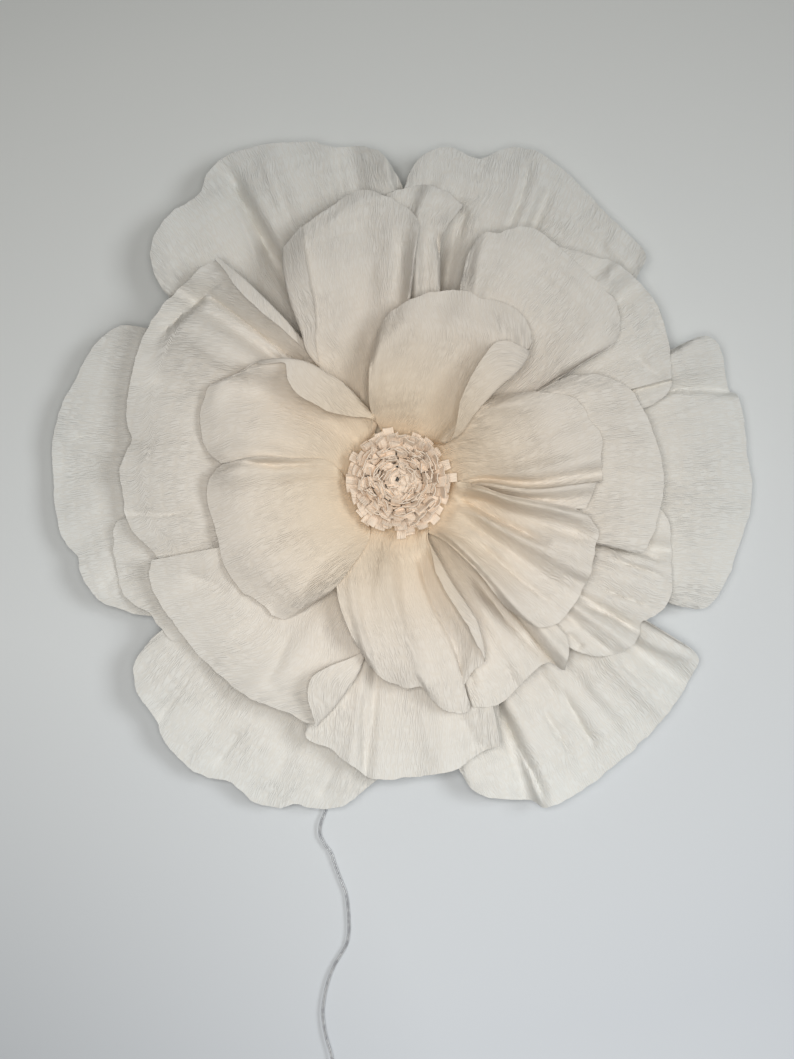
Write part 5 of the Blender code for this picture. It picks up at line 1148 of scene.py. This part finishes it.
def build_carriers():
    """Plywood board, and card discs, spacers and drum."""
    finish_nodes("plywood", ["back_board"],
                 [(0.30, (0.36, 0.24, 0.13)), (0.55, (0.60, 0.45, 0.28)), (0.75, (0.68, 0.54, 0.36))],
                 roughness=0.75, scale=(14.0, 14.0, 260.0), detail=4.0, fineness=0.6, bump=(0.0004, 0.5))
    finish_nodes("card", ["outer_petal_disc", "middle_petal_disc", "front_petal_disc", "middle_spacer",
                          "front_spacer", "drum"],
                 [(0.3, (0.56, 0.53, 0.47)), (0.7, (0.72, 0.69, 0.62))],
                 roughness=0.85, scale=420.0, detail=3.0, bump=(0.0002, 0.5))


def build_fixings():
    """Steel hanger and screws, white plastic block, sleeve, tie and plug, and the strip of lamps."""
    finish_nodes("zinc_steel", ["hanger_plate", "hanger_screw_left", "hanger_screw_right", "plug_shell"],
                 [(0.3, (0.52, 0.53, 0.54)), (0.7, (0.74, 0.74, 0.75))],
                 roughness=0.32, scale=(60.0, 900.0, 900.0), metallic=1.0, bump=(0.00005, 0.4))
    finish_nodes("white_plastic", ["cord_block", "cord_sleeve", "coil_tie", "plug_body"],
                 [(0.3, (0.76, 0.76, 0.74)), (0.7, (0.84, 0.84, 0.82))],
                 roughness=0.42, scale=900.0, detail=1.0, bump=(0.00004, 0.5))
    finish_nodes("lamp_strip", ["light_strip"], [(0.4, (0.80, 0.70, 0.48)), (0.6, (0.90, 0.84, 0.68))],
                 roughness=0.45, scale=500.0, detail=1.0)


# The small lamps on the strip
STRIP_RADIUS = 48.9
STRIP_GAP_AT = 176.0
STRIP_HALF_GAP = 22.0
LAMP_SIDE = 5.0
LAMP_DEPTH = 1.4


def box_quads():
    """The six outward faces of a box whose corners count up in x, then y, then z."""
    return np.array([[0, 2, 3, 1], [4, 5, 7, 6], [0, 1, 5, 4], [2, 6, 7, 3], [0, 4, 6, 2], [1, 3, 7, 5]])


def build_lamps(settings):
    """The lamps on the strip: small blocks round it, each a box of numbers turned to its angle."""
    low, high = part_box("light_strip")
    middle = -(low.y + high.y) / 2 / MM
    count = settings.lamp_count
    along = np.arange(count) / (count - 1)
    angles = np.radians(STRIP_GAP_AT + STRIP_HALF_GAP + (360.0 - 2 * STRIP_HALF_GAP) * along)
    corners = np.array([[x, y, z] for z in (0, 1) for y in (0, 1) for x in (0, 1)], float)
    sideways, outwards, height = (corners[:, k] for k in range(3))
    across = (sideways - 0.5) * LAMP_SIDE
    out = STRIP_RADIUS + outwards * LAMP_DEPTH
    rise = middle + (height - 0.5) * LAMP_SIDE
    place = (np.stack([np.sin(angles), np.cos(angles)], axis=1)[:, None] * out[None, :, None]
             + np.stack([np.cos(angles), -np.sin(angles)], axis=1)[:, None] * across[None, :, None])
    points = np.concatenate([place, np.tile(rise, (count, 1))[..., None]], axis=2).reshape(-1, 3)
    quads = (box_quads()[None] + 8 * np.arange(count)[:, None, None]).reshape(-1, 4)
    piece = add_mesh("strip_lamps", points, quads, smooth=False)
    lens = Shader("lamp_lens", (0.92, 0.80, 0.40), 0.3)
    haze = lens.noise(300.0, detail=1.0)
    lens.join(lens.ramp(haze, [(0.3, (0.88, 0.74, 0.34)), (0.7, (0.95, 0.88, 0.60))]), "Base Color")
    piece.data.materials.append(lens.material)
    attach(piece, "root")


def add_lamp(name, power, place, spread, size, colour):
    """A square lamp that faces the aim, its light kept within the spread in degrees."""
    lamp_data = bpy.data.lights.new(name, "AREA")
    lamp_data.energy = power
    lamp_data.size = size
    lamp_data.spread = math.radians(spread)
    lamp_data.color = colour
    lamp = bpy.data.objects.new(name, lamp_data)
    lamp.location = place
    lamp.rotation_euler = (AIM - lamp.location).to_track_quat("-Z", "Y").to_euler()
    bpy.context.scene.collection.objects.link(lamp)


# The wall and the lamps, each lamp as its place, spread, size and colour
WALL_RINGS = [78.0, 200.0, 500.0, 1500.0, 5000.0]
WALL_SIDES = 96
WALL_GAP = 0.8
AIM = Vector((-0.1, 0.0, -0.84))
WINDOW = ((2.5, -3.4, 0.15), 60.0, 1.7, (0.95, 0.98, 1.0))
PALE_ROOM = ((-0.12, -2.7, -0.16), 80.0, 1.0, (1.0, 0.985, 0.96))


def build_stage(settings):
    """Camera, pale wall and soft light from the upper right."""
    camera_data = bpy.data.cameras.new("camera")
    camera_data.sensor_width = 36.0
    camera_data.lens = 36.0 * VIEWING_DISTANCE / settings.view_height / 1000.0
    camera_data.clip_end = 30.0
    camera = bpy.data.objects.new("camera", camera_data)
    camera.location = (-0.001, -VIEWING_DISTANCE * MM, -VIEWING_DROP * MM)
    camera.rotation_euler = (math.radians(90.0), 0.0, 0.0)
    bpy.context.scene.collection.objects.link(camera)
    bpy.context.scene.camera = camera

    angle = np.linspace(0.0, 2 * math.pi, WALL_SIDES, endpoint=False)
    place = np.stack([np.outer(WALL_RINGS, np.sin(angle)), np.outer(WALL_RINGS, np.cos(angle)),
                      np.full((len(WALL_RINGS), WALL_SIDES), -WALL_GAP)], axis=2)
    index = np.arange(len(WALL_RINGS) * WALL_SIDES).reshape(-1, WALL_SIDES)
    beside = np.roll(index, -1, axis=1)
    quads = np.stack([index[:-1], beside[:-1], beside[1:], index[1:]], axis=2).reshape(-1, 4)
    wall = add_mesh("wall", place.reshape(-1, 3), quads)
    wall.data.materials.append(wall_material(settings))

    add_lamp("window", settings.window_power, *WINDOW)
    add_lamp("pale_room", settings.bounce_power, *PALE_ROOM)

    world = bpy.data.worlds.new("room")
    world.use_nodes = True
    background = world.node_tree.nodes["Background"]
    background.inputs["Color"].default_value = (1.0, 0.98, 0.95, 1.0)
    background.inputs["Strength"].default_value = settings.room_light
    bpy.context.scene.world = world
    bpy.context.scene.view_settings.view_transform = "Standard"


def wall_material(settings):
    """A matt painted wall whose colour carries painted light: paler upwards, with painted shade to the left
    and lower left; from behind it is clear.
    """
    shader = Shader("painted_wall", roughness=0.9)
    places = shader.node("ShaderNodeTexCoord").outputs["Object"]
    # Painted light: the wall's colour runs along this slant, darker low down and paler upwards, to make up
    # for the lamps' light falling off towards the top.
    slant = shader.vector_maths("DOT_PRODUCT", places, (-0.22, 0.0, 1.0))["Value"]
    colour = shader.ramp(shader.remap(slant, -0.58, 0.48),
                         [(0.0, settings.wall_low_painted_light), (0.5, settings.wall_middle_painted_light), (1.0, settings.wall_high_painted_light)])
    # Painted shade: the colour is darkened towards the lower left corner and towards the left side, where the
    # wall lies in less light.
    corner = shader.vector_maths("DISTANCE", places, (-0.55, 0.0, -0.75))["Value"]
    painted_corner_shade = shader.remap(corner, 0.1, 0.62, 0.26, 0.0)
    sideways = shader.vector_maths("DOT_PRODUCT", places, (1.0, 0.0, 0.0))["Value"]
    left = shader.remap(sideways, -0.4, 0.4, 0.12, 0.0)
    colour = shader.mix(shader.maths("ADD", painted_corner_shade, left), colour, (0.0, 0.0, 0.0))
    shader.join(colour, "Base Color")
    shader.set("Specular IOR Level", 0.1)
    shader.bump(shader.noise(260.0, detail=3.0), 0.0002, 0.25)
    clear = shader.node("ShaderNodeBsdfTransparent")
    back = shader.node("ShaderNodeNewGeometry").outputs["Backfacing"]
    looked_at = shader.node("ShaderNodeLightPath").outputs["Is Camera Ray"]
    mixed = shader.node("ShaderNodeMixShader", {0: shader.maths("MULTIPLY", back, looked_at),
                                                1: shader.surface.outputs[0], 2: clear.outputs[0]})
    output = shader.nodes["Material Output"]
    shader.links.new(mixed.outputs[0], output.inputs["Surface"])
    return shader.material


class FlowerPaper(bpy.types.PropertyGroup):
    """Sizes and colours of the crepe paper."""

    thickness: FloatProperty(name="Thickness", description="Thickness of a petal's glued paper",
                             default=0.7 * MM, unit="LENGTH")
    tab_thickness: FloatProperty(name="Tab thickness", description="Thickness of one layer of a centre tab",
                                 default=0.95 * MM, unit="LENGTH")
    cell: FloatProperty(name="Cell", description="Width of a petal's mesh cell at its rim",
                        default=0.0025, unit="LENGTH")
    rows: IntProperty(name="Rows", description="Mesh cells along a petal", default=72)
    ridge_pitch: FloatProperty(name="Ridge pitch", description="Distance between crepe ridges",
                               default=0.0021, unit="LENGTH")
    ridge_height: FloatProperty(name="Ridge height", description="Height of the crepe ridges",
                                default=0.0020, unit="LENGTH")
    ripple: FloatProperty(name="Ripple", description="Height of the broader ripples along the grain",
                          default=0.00012, unit="LENGTH")
    # The inner and middle colours are the paper's tone with painted warm bounce light, which fades out
    # towards the outer colour.
    inner_paper_and_bounce_colour: FloatVectorProperty(name="Inner colour", description="Paper colour by the centre",
                                      default=(0.87, 0.70, 0.495), subtype="COLOR")
    middle_paper_and_bounce_colour: FloatVectorProperty(name="Middle colour", description="Paper colour half way out",
                                       default=(0.82, 0.753, 0.667), subtype="COLOR")
    centre_colour: FloatVectorProperty(name="Centre colour", description="Paper colour of the fringed centre",
                                       default=(0.95, 0.80, 0.65), subtype="COLOR")
    outer_colour: FloatVectorProperty(name="Outer colour", description="Paper colour at the outer rims",
                                      default=(0.785, 0.79, 0.76), subtype="COLOR")


class FlowerFittings(bpy.types.PropertyGroup):
    """The number of lamps on the strip."""

    lamp_count: IntProperty(name="Lamps", description="Lamps on the strip", default=24)


class FlowerStage(bpy.types.PropertyGroup):
    """The wall, the light and the view."""

    view_height: FloatProperty(name="View height", description="Height of wall that the view takes in",
                               default=1.059, unit="LENGTH")
    # The wall colours carry painted light: darker low down and paler up, to set the wall's brightness across
    # the view.
    wall_low_painted_light: FloatVectorProperty(name="Wall, low", description="Wall colour at the bottom of the view",
                                  default=(0.63, 0.66, 0.695), subtype="COLOR")
    wall_middle_painted_light: FloatVectorProperty(name="Wall, middle", description="Wall colour half way up",
                                     default=(0.77, 0.79, 0.79), subtype="COLOR")
    wall_high_painted_light: FloatVectorProperty(name="Wall, high", description="Wall colour at the top of the view",
                                   default=(0.88, 0.895, 0.87), subtype="COLOR")
    window_power: FloatProperty(name="Window light", description="Power of the lamp at the upper right",
                                default=8.7, unit="POWER")
    bounce_power: FloatProperty(name="Room light", description="Power of the lamp for a pale room",
                                default=11.0, unit="POWER")
    room_light: FloatProperty(name="Even light", description="Strength of the light from all round",
                              default=0.08)


class FLOWER_OT_stage(bpy.types.Operator):
    """Makes the camera, the wall and the light"""

    bl_idname = "flower.stage"
    bl_label = "Wall, Light and Camera"

    def execute(self, context):
        build_stage(context.scene.flower_stage)
        return {"FINISHED"}


class FLOWER_OT_lead(bpy.types.Operator):
    """Makes the twin-core lead with its coil"""

    bl_idname = "flower.lead"
    bl_label = "Lead"

    def execute(self, context):
        build_cord()
        return {"FINISHED"}


class FLOWER_OT_petals(bpy.types.Operator):
    """Makes all the crepe petals"""

    bl_idname = "flower.petals"
    bl_label = "Petals"

    def execute(self, context):
        build_petals(context.scene.flower_paper)
        return {"FINISHED"}


class FLOWER_OT_centre(bpy.types.Operator):
    """Makes the fringed paper centre"""

    bl_idname = "flower.centre"
    bl_label = "Fringed Centre"

    def execute(self, context):
        build_centre(context.scene.flower_paper)
        return {"FINISHED"}


class FLOWER_OT_carriers(bpy.types.Operator):
    """Finishes the back board, discs, spacers and drum"""

    bl_idname = "flower.carriers"
    bl_label = "Board and Discs"

    def execute(self, context):
        build_carriers()
        return {"FINISHED"}


class FLOWER_OT_fixings(bpy.types.Operator):
    """Finishes the hanger, screws, block, tie, plug and lamp strip"""

    bl_idname = "flower.fixings"
    bl_label = "Fixings"

    def execute(self, context):
        build_fixings()
        build_lamps(context.scene.flower_fittings)
        return {"FINISHED"}


class FLOWER_PT_panel(bpy.types.Panel):
    """Lists the steps that build the flower"""

    bl_idname = "FLOWER_PT_panel"
    bl_label = "Giant Paper Flower"
    bl_space_type = "VIEW_3D"
    bl_region_type = "UI"
    bl_category = "Flower"

    def draw(self, context):
        for name in OPERATORS:
            self.layout.operator(name)


OPERATORS = ["flower.stage", "flower.lead", "flower.carriers", "flower.fixings", "flower.petals",
             "flower.centre"]
CLASSES = [FlowerPaper, FlowerFittings, FlowerStage, FLOWER_OT_stage, FLOWER_OT_lead, FLOWER_OT_petals,
           FLOWER_OT_centre, FLOWER_OT_carriers, FLOWER_OT_fixings, FLOWER_PT_panel]


def register():
    for item in CLASSES:
        bpy.utils.register_class(item)
    bpy.types.Scene.flower_paper = PointerProperty(type=FlowerPaper)
    bpy.types.Scene.flower_fittings = PointerProperty(type=FlowerFittings)
    bpy.types.Scene.flower_stage = PointerProperty(type=FlowerStage)


def unregister():
    del bpy.types.Scene.flower_stage
    del bpy.types.Scene.flower_fittings
    del bpy.types.Scene.flower_paper
    for item in reversed(CLASSES):
        bpy.utils.unregister_class(item)


def main():
    register()
    for name in OPERATORS:
        group, operator = name.split(".")
        getattr(getattr(bpy.ops, group), operator)()


if __name__ == "__main__":
    main()
